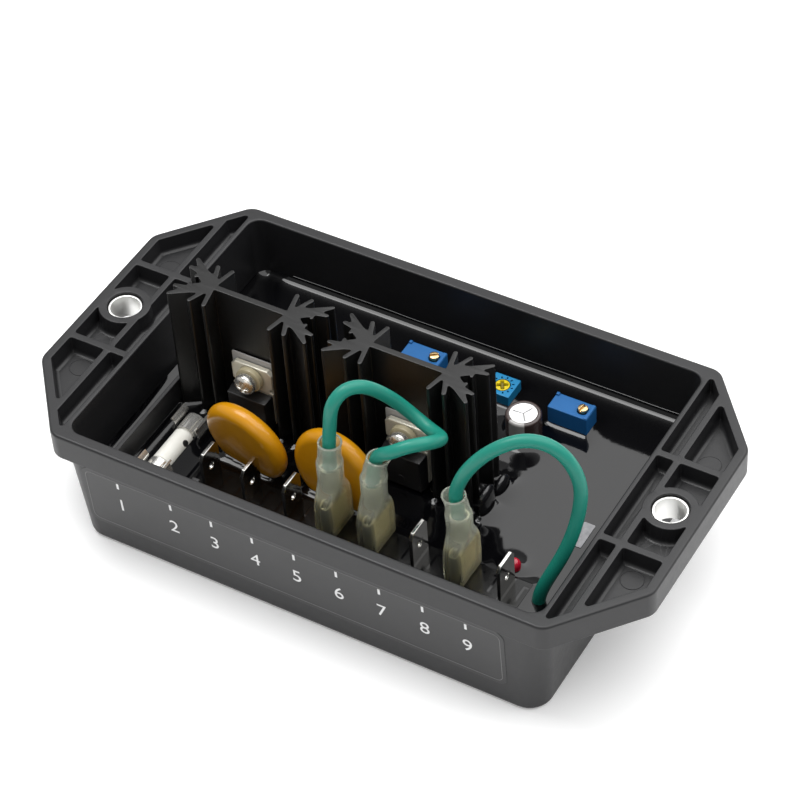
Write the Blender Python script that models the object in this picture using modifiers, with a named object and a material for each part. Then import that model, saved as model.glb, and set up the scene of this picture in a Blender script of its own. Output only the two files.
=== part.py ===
"""Automatic voltage regulator: a potted circuit board in an open plastic tray.

The tray stands on z = 0 with its centre on x = y = 0.  Its long side runs along X,
and the row of spade tabs lies along its front side, at -Y.  All sizes are in metres.
"""

import math
from collections import namedtuple

import bmesh
import bpy
import numpy as np
from mathutils import Matrix, Vector

# Clearances
SEAT_GAP = 0.0003
RUNNING_GAP = 0.0002
OVERLAP = 0.0005

# Tray
TRAY_HEIGHT = 0.031
TRAY_BOTTOM_HALF_LENGTH = 0.0567
TRAY_BOTTOM_HALF_WIDTH = 0.0383
TRAY_DRAFT_X = 0.0656
TRAY_DRAFT_Y = 0.0451
TRAY_WALL = 0.0021
TRAY_FLOOR = 0.002
TRAY_CORNER = 0.0052
TRAY_FOOT_RADIUS = 0.001

# Flange round the tray's mouth, and the ears that it forms at both ends
FLANGE_LIP = 0.00084
EAR_LENGTH = 0.01544
EAR_SHOULDER = 0.00009
FLANGE_END_HALF_WIDTH = 0.02205
FLANGE_DEPTH = 0.00662
FLANGE_WALL = 0.0022
FLANGE_CORNER = 0.004
FLANGE_EDGE_RADIUS = 0.0005
POCKET_DEPTH = 0.005
POCKET_CORNER = 0.0008
MOUTH_WALL = 0.00117
LONG_RIB_FROM_BUSH = 0.0053
LONG_RIB_THICKNESS = 0.0015
CROSS_RIB_Y = 0.0122
CROSS_RIB_THICKNESS = 0.0017

# Bushes in the ears
BUSH_FROM_EAR_END = 0.00727
BUSH_RADIUS = 0.0038
BUSH_BORE_RADIUS = 0.0033
BUSH_RECESS = 0.0006
BOSS_WALL = 0.0019

# Inner wall at the left end, and the posts under the board
END_CHANNEL = 0.0053
DIVIDER_THICKNESS = 0.001
DIVIDER_END_Y = -0.0062
DIVIDER_TOP = 0.0225
POST_FROM_END = 0.0117
POST_FROM_SIDE = 0.0098
POST_RADIUS = 0.003

# Circuit board and potting resin
BOARD_BOTTOM = 0.009
BOARD_THICKNESS = 0.0016
BOARD_EDGE_GAP = 0.0015
RESIN_TOP = 0.0154
LEG_HALF = 0.0004

# Heat sinks: two hubs joined by a web, each hub with forked fins
HEAT_SINK_X = (-0.0311, 0.0073)
HEAT_SINK_Y = -0.0017
HEAT_SINK_HEIGHT = 0.0381
HUB_OFFSET = 0.00944
WEB_HALF = 0.0007
FIN_ROOT_HALF = 0.0006
FIN_TIP_HALF = 0.0005
ARM_ROOT_HALF = 0.0011
ARM_TIP_HALF = 0.0008
INNER_FIN_TIP = (-0.00129, 0.0057)
SECOND_FIN_TIP = (0.00231, 0.0057)
ARM_ELBOW = (0.00416, 0.0028)
FORK_REAR_TIP = (0.00746, 0.00585)
FORK_FRONT_TIP = (0.00756, 0.0032)
STUB_TIP = (0.00506, 0.00105)

# Power devices, stacked on the front of each heat sink's web
PAD_WIDTH = 0.0114
PAD_HEIGHT = 0.0172
PAD_THICKNESS = 0.0003
TAB_WIDTH = 0.0102
TAB_HEIGHT = 0.0155
TAB_THICKNESS = 0.0013
TAB_CHAMFER = 0.0012
CASE_HEIGHT = 0.0094
CASE_DEPTH = 0.0028
CASE_DRAFT = 0.0003
DEVICE_BOTTOM = 0.0157
DEVICE_HOLE_HEIGHT = 0.013
LEG_PITCH = 0.00254
SCREW_SHANK_RADIUS = 0.0013
SCREW_HEAD_RADIUS = 0.0029
SCREW_HEAD_HEIGHT = 0.0023
SCREW_CROSS_WIDTH = 0.0009
SCREW_CROSS_LENGTH = 0.0034
SCREW_CROSS_DEPTH = 0.0012
WASHER_RADIUS = 0.00345
WASHER_THICKNESS = 0.0012
SHOULDER_WALL = 0.00035

# Fuse and its clips
FUSE_FROM_DIVIDER = 0.0064
FUSE_CENTRE_Y = -0.0205
FUSE_HALF_LENGTH = 0.010
FUSE_CAP_LENGTH = 0.005
FUSE_CAP_RADIUS = 0.00265
FUSE_CAP_WALL = 0.0003
FUSE_TUBE_RADIUS = 0.0025
CLIP_THICKNESS = 0.0005
CLIP_LENGTH = 0.0053

# Disc varistors
VARISTOR_RADIUS = 0.0105
VARISTOR_THICKNESS = 0.0048
VARISTOR_LEAD_PITCH = 0.0075
VARISTOR_CENTRES = ((-0.0252, -0.0168, 0.0229), (-0.00355, -0.0158, 0.0231))
VARISTOR_LEANS = (8.6, -2.5)
VARISTOR_TURNS = (-8.6, -5.6)

# Terminal strip, spade tabs, receptacles and boots
TAB_COUNT = 8
TAB_PITCH = 0.01016
FIRST_TAB_X = -0.0301
FIRST_TAB_Y = -0.0244
TAB_ROW_SLOPE = 0.0185
SPADE_WIDTH = 0.0063
SPADE_THICKNESS = 0.0008
SPADE_TOP = 0.0253
SPADE_CHAMFER = 0.00095
SPADE_HOLE_RADIUS = 0.0009
SPADE_HOLE_HEIGHT = 0.0202
SPADE_PIN_WIDTH = 0.0012
STRIP_END = 0.00448
STRIP_WIDTH = 0.0075
STRIP_TOP = 0.016
WIRED_TABS = (3, 4, 6)
BOOT_NECK_TOPS = (0.0416, 0.0424, 0.0391)
BOOT_LEANS = (0.0007, 0.0021, -0.0012)
BOOT_SHIFT = 0.0001
BOOT_WALL = 0.0005
BOOT_HALF_THICKNESS = 0.0023
BOOT_HALF_WIDTH = 0.0045
BOOT_SHOULDER = 0.028
BOOT_NECK_RADIUS = 0.00275
RECEPTACLE_THICKNESS = 0.0004
RECEPTACLE_LENGTH = 0.0078
BARREL_WALL = 0.0003
BARREL_BOTTOM = 0.029
BARREL_TOP = 0.032

# Wires: routes chosen by hand, points in the order that the wire runs
WIRE_RADIUS = 0.00145
WIRE_START = 0.0295
WIRE_POINT_SPACING = 0.005
JUMPER_ROUTE = (
    (0.0002, 0.0340, 0.0000),
    (0.0008, 0.0431, 0.0000),
    (0.0013, 0.0478, 0.0001),
    (0.0022, 0.0529, 0.0011),
    (0.0034, 0.0545, 0.0033),
    (0.0052, 0.0542, 0.0058),
    (0.0075, 0.0510, 0.0091),
    (0.0103, 0.0460, 0.0122),
    (0.0137, 0.0424, 0.0133),
    (0.0181, 0.0416, 0.0122),
    (0.0215, 0.0433, 0.0098),
    (0.0222, 0.0458, 0.0063),
    (0.0208, 0.0475, 0.0029),
    (0.0186, 0.0475, 0.0008),
    (0.0161, 0.0462, -0.0005),
    (0.0122, 0.0424, 0.0001),
    (0.0108, 0.0372, 0.0002),
    (0.0103, 0.0340, 0.0002),
)
LINK_ROUTE = (
    (-0.0004, 0.0350, 0.0000),
    (-0.0006, 0.0395, 0.0000),
    (0.0001, 0.0425, 0.0001),
    (0.0014, 0.0458, 0.0004),
    (0.0040, 0.0501, 0.0014),
    (0.0081, 0.0541, 0.0034),
    (0.0129, 0.0555, 0.0063),
    (0.0172, 0.0541, 0.0081),
    (0.0210, 0.0498, 0.0091),
    (0.0230, 0.0443, 0.0090),
    (0.0232, 0.0394, 0.0082),
    (0.0226, 0.0337, 0.0066),
    (0.0211, 0.0276, 0.0043),
    (0.0189, 0.0217, 0.0021),
    (0.0173, 0.0158, 0.0010),
    (0.0173, 0.0110, 0.0010),
)

# Trimmers
TRIMMER_LENGTH = 0.00953
TRIMMER_WIDTH = 0.00483
TRIMMER_TOP = 0.0206
TRIMMER_EDGE = 0.0003
TRIMMER_CENTRES = ((-0.0058, 0.0253), (0.0308, 0.0257))
TRIMMER_SCREW_OFFSET = 0.0027
TRIMMER_SCREW_RADIUS = 0.0011
TRIMMER_SCREW_DEPTH = 0.002
TRIMMER_SCREW_RISE = 0.0008
TRIMMER_SLOT_WIDTH = 0.0005
TRIMMER_SLOT_DEPTH = 0.0006
ROTARY_CENTRE = (0.0132, 0.0265)
ROTARY_LENGTH = 0.0062
ROTARY_WIDTH = 0.006
ROTARY_TOP = 0.0185
ROTARY_CUT_CORNER = 0.0014
ROTOR_RADIUS = 0.00165
ROTOR_DEPTH = 0.0016
ROTOR_CROSS_WIDTH = 0.0007
ROTOR_CROSS_DEPTH = 0.0007

# Small components
CAPACITOR_CENTRE = (0.0232, 0.0178)
CAPACITOR_RADIUS = 0.004
CAPACITOR_TOP = 0.0223
SLEEVE_WALL = 0.00025
SLEEVE_LIP = 0.0009
CAN_EDGE_RADIUS = 0.0005
LED_CENTRE = (0.0396, -0.0171)
LED_RADIUS = 0.0015
LED_FLANGE_RADIUS = 0.0019
LED_TOP = 0.0183
LED_HEIGHT = 0.0053
LED_LEG_PITCH = 0.00254
DIPPED_CENTRES = ((0.0268, 0.0012), (0.0268, -0.0054))
DIPPED_TOPS = (0.0194, 0.0225)
DIPPED_HALF_WIDTH = 0.0029
DIPPED_HALF_THICKNESS = 0.0012

# Facet counts
CORNER_STEPS = 3
BORE_SIDES = 16
SMALL_SIDES = 10
ROUND_SIDES = 20

BOARD_TOP = BOARD_BOTTOM + BOARD_THICKNESS
MOUNTED_BOTTOM = BOARD_TOP + SEAT_GAP
FLANGE_BOTTOM = TRAY_HEIGHT - FLANGE_DEPTH
MOUTH_HALF_LENGTH = TRAY_BOTTOM_HALF_LENGTH + TRAY_DRAFT_X * TRAY_HEIGHT
MOUTH_HALF_WIDTH = TRAY_BOTTOM_HALF_WIDTH + TRAY_DRAFT_Y * TRAY_HEIGHT
FLANGE_HALF_LENGTH = MOUTH_HALF_LENGTH + EAR_LENGTH
FLANGE_HALF_WIDTH = MOUTH_HALF_WIDTH + FLANGE_LIP
FLANGE_SHOULDER_X = MOUTH_HALF_LENGTH + EAR_SHOULDER
BUSH_X = FLANGE_HALF_LENGTH - BUSH_FROM_EAR_END
LONG_RIB_X = BUSH_X - LONG_RIB_FROM_BUSH
POCKET_START_X = MOUTH_HALF_LENGTH - TRAY_WALL + MOUTH_WALL
DIVIDER_X = -(TRAY_BOTTOM_HALF_LENGTH - TRAY_WALL - END_CHANNEL)
FUSE_X = DIVIDER_X + FUSE_FROM_DIVIDER
POST_X = TRAY_BOTTOM_HALF_LENGTH - POST_FROM_END
POST_Y = TRAY_BOTTOM_HALF_WIDTH - POST_FROM_SIDE

# Planes for flat outlines: outline x, outline y and thickness go to these axes
FACING = {
    "X": Matrix(((0, 0, 1, 0), (1, 0, 0, 0), (0, 1, 0, 0), (0, 0, 0, 1))),
    "-Y": Matrix(((1, 0, 0, 0), (0, 0, -1, 0), (0, 1, 0, 0), (0, 0, 0, 1))),
    "Z": Matrix.Identity(4),
}

Branch = namedtuple("Branch", "tip root_half tip_half forks")


def clear_scene():
    """Remove whatever the scene holds."""
    for item in list(bpy.data.objects):
        bpy.data.objects.remove(item, do_unlink=True)


def make_collection(name):
    """Add a collection to the scene."""
    collection = bpy.data.collections.new(name)
    bpy.context.scene.collection.children.link(collection)
    return collection


def make_material(name, color, roughness, metallic=0.0, alpha=1.0):
    """A plain Principled material."""
    material = bpy.data.materials.new(name)
    material.use_nodes = True
    shader = material.node_tree.nodes["Principled BSDF"]
    shader.inputs["Base Color"].default_value = (*color, 1.0)
    shader.inputs["Roughness"].default_value = roughness
    shader.inputs["Metallic"].default_value = metallic
    shader.inputs["Alpha"].default_value = alpha
    material.diffuse_color = (*color, alpha)
    return material


def add_object(name, data, material=None, matrix=None):
    """Put a mesh or a curve into the parts collection."""
    item = bpy.data.objects.new(name, data)
    bpy.data.collections[PARTS].objects.link(item)
    item.matrix_world = matrix or Matrix.Identity(4)
    if material:
        data.materials.append(material)
    return item


def add_bmesh(name, bm, material=None, matrix=None):
    """Turn a bmesh into an object and free it."""
    bmesh.ops.recalc_face_normals(bm, faces=bm.faces)
    mesh = bpy.data.meshes.new(name)
    bm.to_mesh(mesh)
    bm.free()
    return add_object(name, mesh, material, matrix)


def mesh_from_curve(guide, material=None):
    """Replace a curve object with the closed mesh of the same shape."""
    name = guide.name
    depsgraph = bpy.context.evaluated_depsgraph_get()
    mesh = bpy.data.meshes.new_from_object(guide.evaluated_get(depsgraph))
    matrix = guide.matrix_world.copy()
    bpy.data.objects.remove(guide, do_unlink=True)
    bm = bmesh.new()
    bm.from_mesh(mesh)
    bmesh.ops.remove_doubles(bm, verts=bm.verts, dist=0.000001)
    bm.to_mesh(mesh)
    bm.free()
    mesh.name = name
    return add_object(name, mesh, material, matrix)


def plate(name, outlines, low, high, material=None, facing="Z"):
    """A flat outline, with any holes after it, from low to high along the axis it faces."""
    curve = bpy.data.curves.new(name, "CURVE")
    curve.dimensions = "2D"
    curve.fill_mode = "BOTH"
    curve.extrude = (high - low) / 2
    for outline in outlines:
        spline = curve.splines.new("POLY")
        spline.points.add(len(outline) - 1)
        for point, (across, up) in zip(spline.points, outline):
            point.co = (across, up, 0.0, 1.0)
        spline.use_cyclic_u = True
    middle = (high + low) / 2
    place = Matrix.Translation((0.0, 0.0, -middle if facing == "-Y" else middle))
    guide = add_object(name, curve, matrix=FACING[facing] @ place)
    bpy.context.view_layer.update()
    return mesh_from_curve(guide, material)


def box(name, low, high, material=None, edge=0.0):
    """A block between two corners, with its edges broken by a Bevel."""
    bm = bmesh.new()
    bmesh.ops.create_cube(bm, size=1.0)
    size = Vector(high) - Vector(low)
    centre = (Vector(high) + Vector(low)) / 2
    bmesh.ops.scale(bm, vec=size, verts=bm.verts)
    bmesh.ops.translate(bm, vec=centre, verts=bm.verts)
    block = add_bmesh(name, bm, material)
    if edge:
        bevel = block.modifiers.new("edges", "BEVEL")
        bevel.width = edge
        bevel.segments = 1
    return block


def rod(name, centre, radius, low, high, material=None, facing="Z", sides=BORE_SIDES):
    """A round rod from low to high along the axis it faces, about a centre in its outline's plane."""
    bm = bmesh.new()
    bmesh.ops.create_cone(
        bm, cap_ends=True, segments=sides, radius1=radius, radius2=radius, depth=high - low)
    middle = (high + low) / 2
    place = Matrix.Translation((centre[0], centre[1], -middle if facing == "-Y" else middle))
    bmesh.ops.transform(bm, matrix=FACING[facing] @ place, verts=bm.verts)
    return add_bmesh(name, bm, material)


def turned(name, profile, material, matrix, sides=ROUND_SIDES, closed=False):
    """A profile of (radius, height) points, down its outer side, turned about its own Z."""
    mesh = bpy.data.meshes.new(name)
    edges = [(index, index + 1) for index in range(len(profile) - 1)]
    if closed:
        edges.append((len(profile) - 1, 0))
    mesh.from_pydata([(radius, 0.0, height) for radius, height in profile], edges, [])
    item = add_object(name, mesh, material, matrix)
    screw = item.modifiers.new("turn", "SCREW")
    screw.steps = sides
    screw.render_steps = sides
    screw.use_merge_vertices = True
    screw.merge_threshold = 0.000001
    return item


def boolean(target, operand, operation):
    """Cut or join with another object, which becomes a hidden cutter."""
    bpy.data.collections[PARTS].objects.unlink(operand)
    bpy.data.collections[CUTTERS].objects.link(operand)
    operand.hide_render = True
    operand.display_type = "WIRE"
    modifier = target.modifiers.new(operand.name, "BOOLEAN")
    modifier.operation = operation
    modifier.solver = "EXACT"
    modifier.object = operand
    return target


def cut(target, *operands):
    """Take each operand's shape out of the target."""
    for operand in operands:
        boolean(target, operand, "DIFFERENCE")
    return target


def join(target, *operands):
    """Fuse each operand's shape with the target."""
    for operand in operands:
        boolean(target, operand, "UNION")
    return target


def mirrored(item, along_x, along_y):
    """Repeat a cutter on the other side of the tray's middle planes."""
    mirror = item.modifiers.new("mirror", "MIRROR")
    mirror.use_axis = (along_x, along_y, False)
    mirror.use_mirror_merge = False
    mirror.merge_threshold = 0.0001
    return item


def arc(centre, radius, start, end, steps):
    """Points on a circle from one angle to another, in radians."""
    angles = [start + (end - start) * step / steps for step in range(steps + 1)]
    return [(centre[0] + radius * math.cos(a), centre[1] + radius * math.sin(a)) for a in angles]


def rounded(corners, radius, steps=CORNER_STEPS):
    """An outline through the corners, each one rounded off by an arc."""
    corners = [Vector(corner) for corner in corners]
    outline = []
    for index, corner in enumerate(corners):
        back = corners[index - 1] - corner
        ahead = corners[(index + 1) % len(corners)] - corner
        half_angle = back.angle(ahead) / 2
        reach = min(radius / math.tan(half_angle), 0.45 * min(back.length, ahead.length))
        inward = (back.normalized() + ahead.normalized()).normalized()
        centre = corner + inward * (reach / math.cos(half_angle))
        spoke = corner + back.normalized() * reach - centre
        sweep = math.pi - 2 * half_angle
        if back.x * ahead.y - back.y * ahead.x > 0:
            sweep = -sweep
        for step in range(steps + 1):
            point = centre + Matrix.Rotation(sweep * step / steps, 2) @ spoke
            outline.append((point.x, point.y))
    return outline


def rectangle(centre, half_length, half_width):
    """The four corners of a rectangle, anticlockwise."""
    x, y = centre
    return [
        (x - half_length, y - half_width),
        (x + half_length, y - half_width),
        (x + half_length, y + half_width),
        (x - half_length, y + half_width),
    ]


def strip_sides(path, thickness):
    """Both sides of a bent strip whose middle line is the path, left side first."""
    points = [Vector(point) for point in path]
    sides = []
    for index, point in enumerate(points):
        before = points[max(index - 1, 0)]
        after = points[min(index + 1, len(points) - 1)]
        run_in = (point - before).normalized() if index else (after - point).normalized()
        run_out = (after - point).normalized() if index < len(points) - 1 else run_in
        along = (run_in + run_out).normalized()
        reach = thickness / 2 / max(along.dot(run_in), 0.5)
        sides.append(Vector((-along.y, along.x)) * reach)
    left = [tuple(point + side) for point, side in zip(points, sides)]
    right = [tuple(point - side) for point, side in zip(points, sides)]
    return left, right


def strip_outline(path, thickness):
    """The outline of a bent strip whose middle line is the path."""
    left, right = strip_sides(path, thickness)
    return left + right[::-1]


def tray_half_size(height, inset):
    """Half length and half width of the tray's drafted walls at a height, less an inset."""
    half_length = TRAY_BOTTOM_HALF_LENGTH + TRAY_DRAFT_X * height - inset
    half_width = TRAY_BOTTOM_HALF_WIDTH + TRAY_DRAFT_Y * height - inset
    return half_length, half_width


def drafted_block(name, low, high, inset, material=None, foot=0.0):
    """A block that follows the tray's drafted walls at an inset, with rounded uprights."""
    bm = bmesh.new()
    bmesh.ops.create_cube(bm, size=2.0)
    for vert in bm.verts:
        height = high if vert.co.z > 0 else low
        half_length, half_width = tray_half_size(height, inset)
        vert.co = (vert.co.x * half_length, vert.co.y * half_width, height)
    uprights = [edge for edge in bm.edges if edge.verts[0].co.z != edge.verts[1].co.z]
    bmesh.ops.bevel(
        bm, geom=uprights, offset=TRAY_CORNER - inset, segments=CORNER_STEPS, profile=0.5,
        affect="EDGES", offset_type="OFFSET")
    if foot:
        lowest = [edge for edge in bm.edges if max(vert.co.z for vert in edge.verts) < low + foot / 2]
        bmesh.ops.bevel(
            bm, geom=lowest, offset=foot, segments=2, profile=0.5,
            affect="EDGES", offset_type="OFFSET")
    return add_bmesh(name, bm, material)


def ear_slope_y(x):
    """Where the ear's sloping wall has its inner face, at a distance along the tray."""
    run = FLANGE_HALF_LENGTH - FLANGE_SHOULDER_X
    fall = FLANGE_HALF_WIDTH - FLANGE_END_HALF_WIDTH
    slope = fall / run
    outer = FLANGE_HALF_WIDTH - slope * (x - FLANGE_SHOULDER_X)
    return min(outer - FLANGE_WALL * math.hypot(1.0, slope), FLANGE_HALF_WIDTH - FLANGE_WALL)


def flange():
    """The flat rim of the tray with its two ears, its top edge rounded."""
    quarter = [(FLANGE_HALF_LENGTH, FLANGE_END_HALF_WIDTH), (FLANGE_SHOULDER_X, FLANGE_HALF_WIDTH)]
    corners = quarter + [(-x, y) for x, y in quarter[::-1]]
    corners += [(-x, -y) for x, y in corners]
    rim = plate("housing", [rounded(corners, FLANGE_CORNER)], FLANGE_BOTTOM, TRAY_HEIGHT)
    bm = bmesh.new()
    bm.from_mesh(rim.data)
    top = max(vert.co.z for vert in bm.verts)
    edges = [
        edge for edge in bm.edges
        if min(vert.co.z for vert in edge.verts) > top - 0.00001 and edge.calc_face_angle(0.0) > 1.0]
    bmesh.ops.bevel(
        bm, geom=edges, offset=FLANGE_EDGE_RADIUS, segments=2, profile=0.5,
        affect="EDGES", offset_type="OFFSET")
    bm.to_mesh(rim.data)
    bm.free()
    return rim


def ear_pockets():
    """The three kinds of pocket that leave the ear's ribs standing."""
    floor = TRAY_HEIGHT - POCKET_DEPTH
    above = TRAY_HEIGHT + OVERLAP
    outer_x = FLANGE_HALF_LENGTH - FLANGE_WALL
    long_rib_end = LONG_RIB_X + LONG_RIB_THICKNESS
    cross_rib_end = CROSS_RIB_Y + CROSS_RIB_THICKNESS
    corner_pocket = [
        (long_rib_end, cross_rib_end),
        (outer_x, cross_rib_end),
        (outer_x, ear_slope_y(outer_x)),
        (long_rib_end, ear_slope_y(long_rib_end)),
    ]
    side_pocket = [
        (POCKET_START_X, cross_rib_end),
        (LONG_RIB_X, cross_rib_end),
        (LONG_RIB_X, ear_slope_y(LONG_RIB_X)),
        (POCKET_START_X, ear_slope_y(POCKET_START_X)),
    ]
    middle_pocket = rectangle(
        ((long_rib_end + outer_x) / 2, 0.0), (outer_x - long_rib_end) / 2, CROSS_RIB_Y)
    middle_slot = rectangle(
        ((POCKET_START_X + LONG_RIB_X) / 2, 0.0), (LONG_RIB_X - POCKET_START_X) / 2, CROSS_RIB_Y)
    pockets = []
    for name, corners, both_sides in (
            ("corner_pocket", corner_pocket, True), ("side_pocket", side_pocket, True),
            ("middle_pocket", middle_pocket, False), ("middle_slot", middle_slot, False)):
        pocket = plate(name, [rounded(corners, POCKET_CORNER)], floor, above)
        pockets.append(mirrored(pocket, True, both_sides))
    return pockets


def housing(material):
    """The moulded tray: rim with ribbed ears, drafted body, divider wall and board posts."""
    tray = flange()
    tray.data.materials.append(material)
    body = drafted_block("tray_body", 0.0, FLANGE_BOTTOM + FLANGE_DEPTH / 2, 0.0, foot=TRAY_FOOT_RADIUS)
    join(tray, body)
    cut(tray, drafted_block("tray_cavity", TRAY_FLOOR, TRAY_HEIGHT + OVERLAP, TRAY_WALL))
    cut(tray, *ear_pockets())
    hole_radius = BUSH_RADIUS + RUNNING_GAP
    boss = rod("boss", (BUSH_X, 0.0), hole_radius + BOSS_WALL, FLANGE_BOTTOM, TRAY_HEIGHT)
    hole = rod("bush_hole", (BUSH_X, 0.0), hole_radius, FLANGE_BOTTOM - OVERLAP, TRAY_HEIGHT + OVERLAP)
    join(tray, mirrored(boss, True, False))
    cut(tray, mirrored(hole, True, False))
    wall_middle = TRAY_BOTTOM_HALF_WIDTH - TRAY_WALL / 3
    divider = box(
        "divider",
        (DIVIDER_X - DIVIDER_THICKNESS / 2, -wall_middle, TRAY_FLOOR / 2),
        (DIVIDER_X + DIVIDER_THICKNESS / 2, DIVIDER_END_Y, DIVIDER_TOP))
    post = rod(
        "board_post", (POST_X, POST_Y), POST_RADIUS, TRAY_FLOOR / 2, BOARD_BOTTOM - SEAT_GAP,
        sides=SMALL_SIDES)
    return join(tray, divider, mirrored(post, True, True))


def bush(name, side, material):
    """A thin turned sleeve in an ear's boss."""
    top = TRAY_HEIGHT - BUSH_RECESS
    edge = (BUSH_RADIUS - BUSH_BORE_RADIUS) / 4
    profile = [
        (BUSH_BORE_RADIUS, top - edge),
        (BUSH_BORE_RADIUS + edge, top),
        (BUSH_RADIUS - edge, top),
        (BUSH_RADIUS, top - edge),
        (BUSH_RADIUS, FLANGE_BOTTOM),
        (BUSH_BORE_RADIUS, FLANGE_BOTTOM),
    ]
    place = Matrix.Translation((side * BUSH_X, 0.0, 0.0))
    return turned(name, profile, material, place, sides=BORE_SIDES, closed=True)


def spade_place(index):
    """Where a spade tab stands: the row runs a little off the tray's long side."""
    along = index * TAB_PITCH
    return FIRST_TAB_X + along, FIRST_TAB_Y + along * TAB_ROW_SLOPE


def strip_corners(gap):
    """The terminal strip's outline round the whole row, grown by a gap."""
    ends = [(spade_place(0), -1), (spade_place(TAB_COUNT - 1), 1)]
    half = STRIP_WIDTH / 2 + gap
    front = [(x + end * (STRIP_END + gap), y - half) for (x, y), end in ends]
    return front + [(x, y + 2 * half) for x, y in front[::-1]]


def leg_boxes(name, grow):
    """Legs of the power devices, as boxes grown by a clearance."""
    y = device_layers()["tab_middle"]
    boxes = []
    for sink, centre_x in enumerate(HEAT_SINK_X):
        for leg in (-1, 0, 1):
            x = centre_x + leg * LEG_PITCH
            half = LEG_HALF + grow
            boxes.append(box(
                f"{name}_{sink}_{leg + 1}",
                (x - half, y - half, BOARD_BOTTOM - grow),
                (x + half, y + half, DEVICE_BOTTOM + OVERLAP)))
    return boxes


def spade_pin_centres():
    """Both pins of each spade tab, as places on the board."""
    offset = (SPADE_WIDTH - SPADE_PIN_WIDTH) / 2
    places = [spade_place(index) for index in range(TAB_COUNT)]
    return [(x, y + side * offset) for x, y in places for side in (-1, 1)]


def board_holes():
    """Holes for the pins and legs that go into the board."""
    below = BOARD_BOTTOM - OVERLAP
    above = BOARD_TOP + OVERLAP
    holes = []
    for index, (x, y) in enumerate(spade_pin_centres()):
        half_x = SPADE_THICKNESS / 2 + RUNNING_GAP
        half_y = SPADE_PIN_WIDTH / 2 + RUNNING_GAP
        low = (x - half_x, y - half_y, below)
        holes.append(box(f"pin_hole_{index}", low, (x + half_x, y + half_y, above)))
    holes += leg_boxes("leg_hole", RUNNING_GAP)
    for index, (x, y) in enumerate(varistor_lead_places() + led_leg_places()):
        hole = rod(
            f"lead_hole_{index}", (x, y), LEG_HALF + RUNNING_GAP, below, above, sides=SMALL_SIDES // 2)
        holes.append(hole)
    return holes


def divider_notch(name, high):
    """The room that the divider wall takes, with its clearance."""
    half = DIVIDER_THICKNESS / 2 + SEAT_GAP
    _, half_width = tray_half_size(BOARD_TOP, 0.0)
    return box(
        name,
        (DIVIDER_X - half, -half_width - OVERLAP, 0.0),
        (DIVIDER_X + half, DIVIDER_END_Y + SEAT_GAP, high))


def circuit_board(material):
    """The board under the resin, notched for the divider and drilled for the leads."""
    half_length, half_width = tray_half_size(BOARD_BOTTOM, TRAY_WALL + BOARD_EDGE_GAP)
    board = box(
        "circuit_board", (-half_length, -half_width, BOARD_BOTTOM), (half_length, half_width, BOARD_TOP),
        material)
    return cut(board, divider_notch("board_notch", TRAY_HEIGHT), *board_holes())


def side_line(start, end, start_half, end_half, side):
    """The edge of a tapered fin on one side: two points."""
    along = (end - start).normalized()
    across = Vector((-along.y, along.x)) * side
    return start + across * start_half, end + across * end_half


def meet(first, second):
    """Where two edge lines cross, or half way between them where they run nearly straight on."""
    along_first = (first[1] - first[0]).normalized()
    along_second = (second[1] - second[0]).normalized()
    cross = along_first.x * along_second.y - along_first.y * along_second.x
    if abs(cross) < 0.35:
        return (first[0] + second[0]) / 2
    offset = second[0] - first[0]
    reach = (offset.x * along_second.y - offset.y * along_second.x) / cross
    return first[0] + along_first * reach


def fin_walk(start, branch, grow):
    """Outline points met on a walk out along one side of a fin and back along the other."""
    end = start + Vector(branch.tip)
    if not branch.forks:
        radius = branch.tip_half + grow
        along = end - start
        heading = math.atan2(along.y, along.x)
        return arc(end, radius, heading - math.pi / 2, heading + math.pi / 2, CORNER_STEPS)
    halves = (branch.root_half + grow, branch.tip_half + grow)
    out_line = side_line(start, end, *halves, -1)[::-1]
    back_line = side_line(start, end, *halves, 1)[::-1]
    return fork_walk(end, branch.forks, out_line, back_line, grow)


def fork_walk(start, forks, first_line, last_line, grow):
    """Walk round the fins that leave one point, with a crotch between neighbours."""
    outline = []
    line = first_line
    for fork in forks:
        end = start + Vector(fork.tip)
        halves = (fork.root_half + grow, fork.tip_half + grow)
        outline.append(tuple(meet(line, side_line(start, end, *halves, -1))))
        outline += fin_walk(start, fork, grow)
        line = side_line(start, end, *halves, 1)
    outline.append(tuple(meet(line, last_line)))
    return outline


def fin_branches():
    """The fins of one hub in anticlockwise order, from the front inner fin to the rear one."""
    rear_forks = [
        Branch(FORK_FRONT_TIP, FIN_ROOT_HALF, FIN_TIP_HALF, ()),
        Branch(FORK_REAR_TIP, FIN_ROOT_HALF, FIN_TIP_HALF, ()),
    ]
    elbow = Vector(ARM_ELBOW)
    rear_forks = [fork._replace(tip=tuple(Vector(fork.tip) - elbow)) for fork in rear_forks]
    rear = [
        Branch(STUB_TIP, FIN_TIP_HALF, FIN_TIP_HALF, ()),
        Branch(ARM_ELBOW, ARM_ROOT_HALF, ARM_TIP_HALF, rear_forks),
        Branch(SECOND_FIN_TIP, FIN_ROOT_HALF, FIN_TIP_HALF, ()),
        Branch(INNER_FIN_TIP, FIN_ROOT_HALF, FIN_TIP_HALF, ()),
    ]
    return [flipped(branch) for branch in rear[::-1]] + rear


def flipped(branch):
    """The same fin on the other side of the web."""
    forks = [flipped(fork) for fork in branch.forks[::-1]]
    return branch._replace(tip=(branch.tip[0], -branch.tip[1]), forks=forks)


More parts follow.
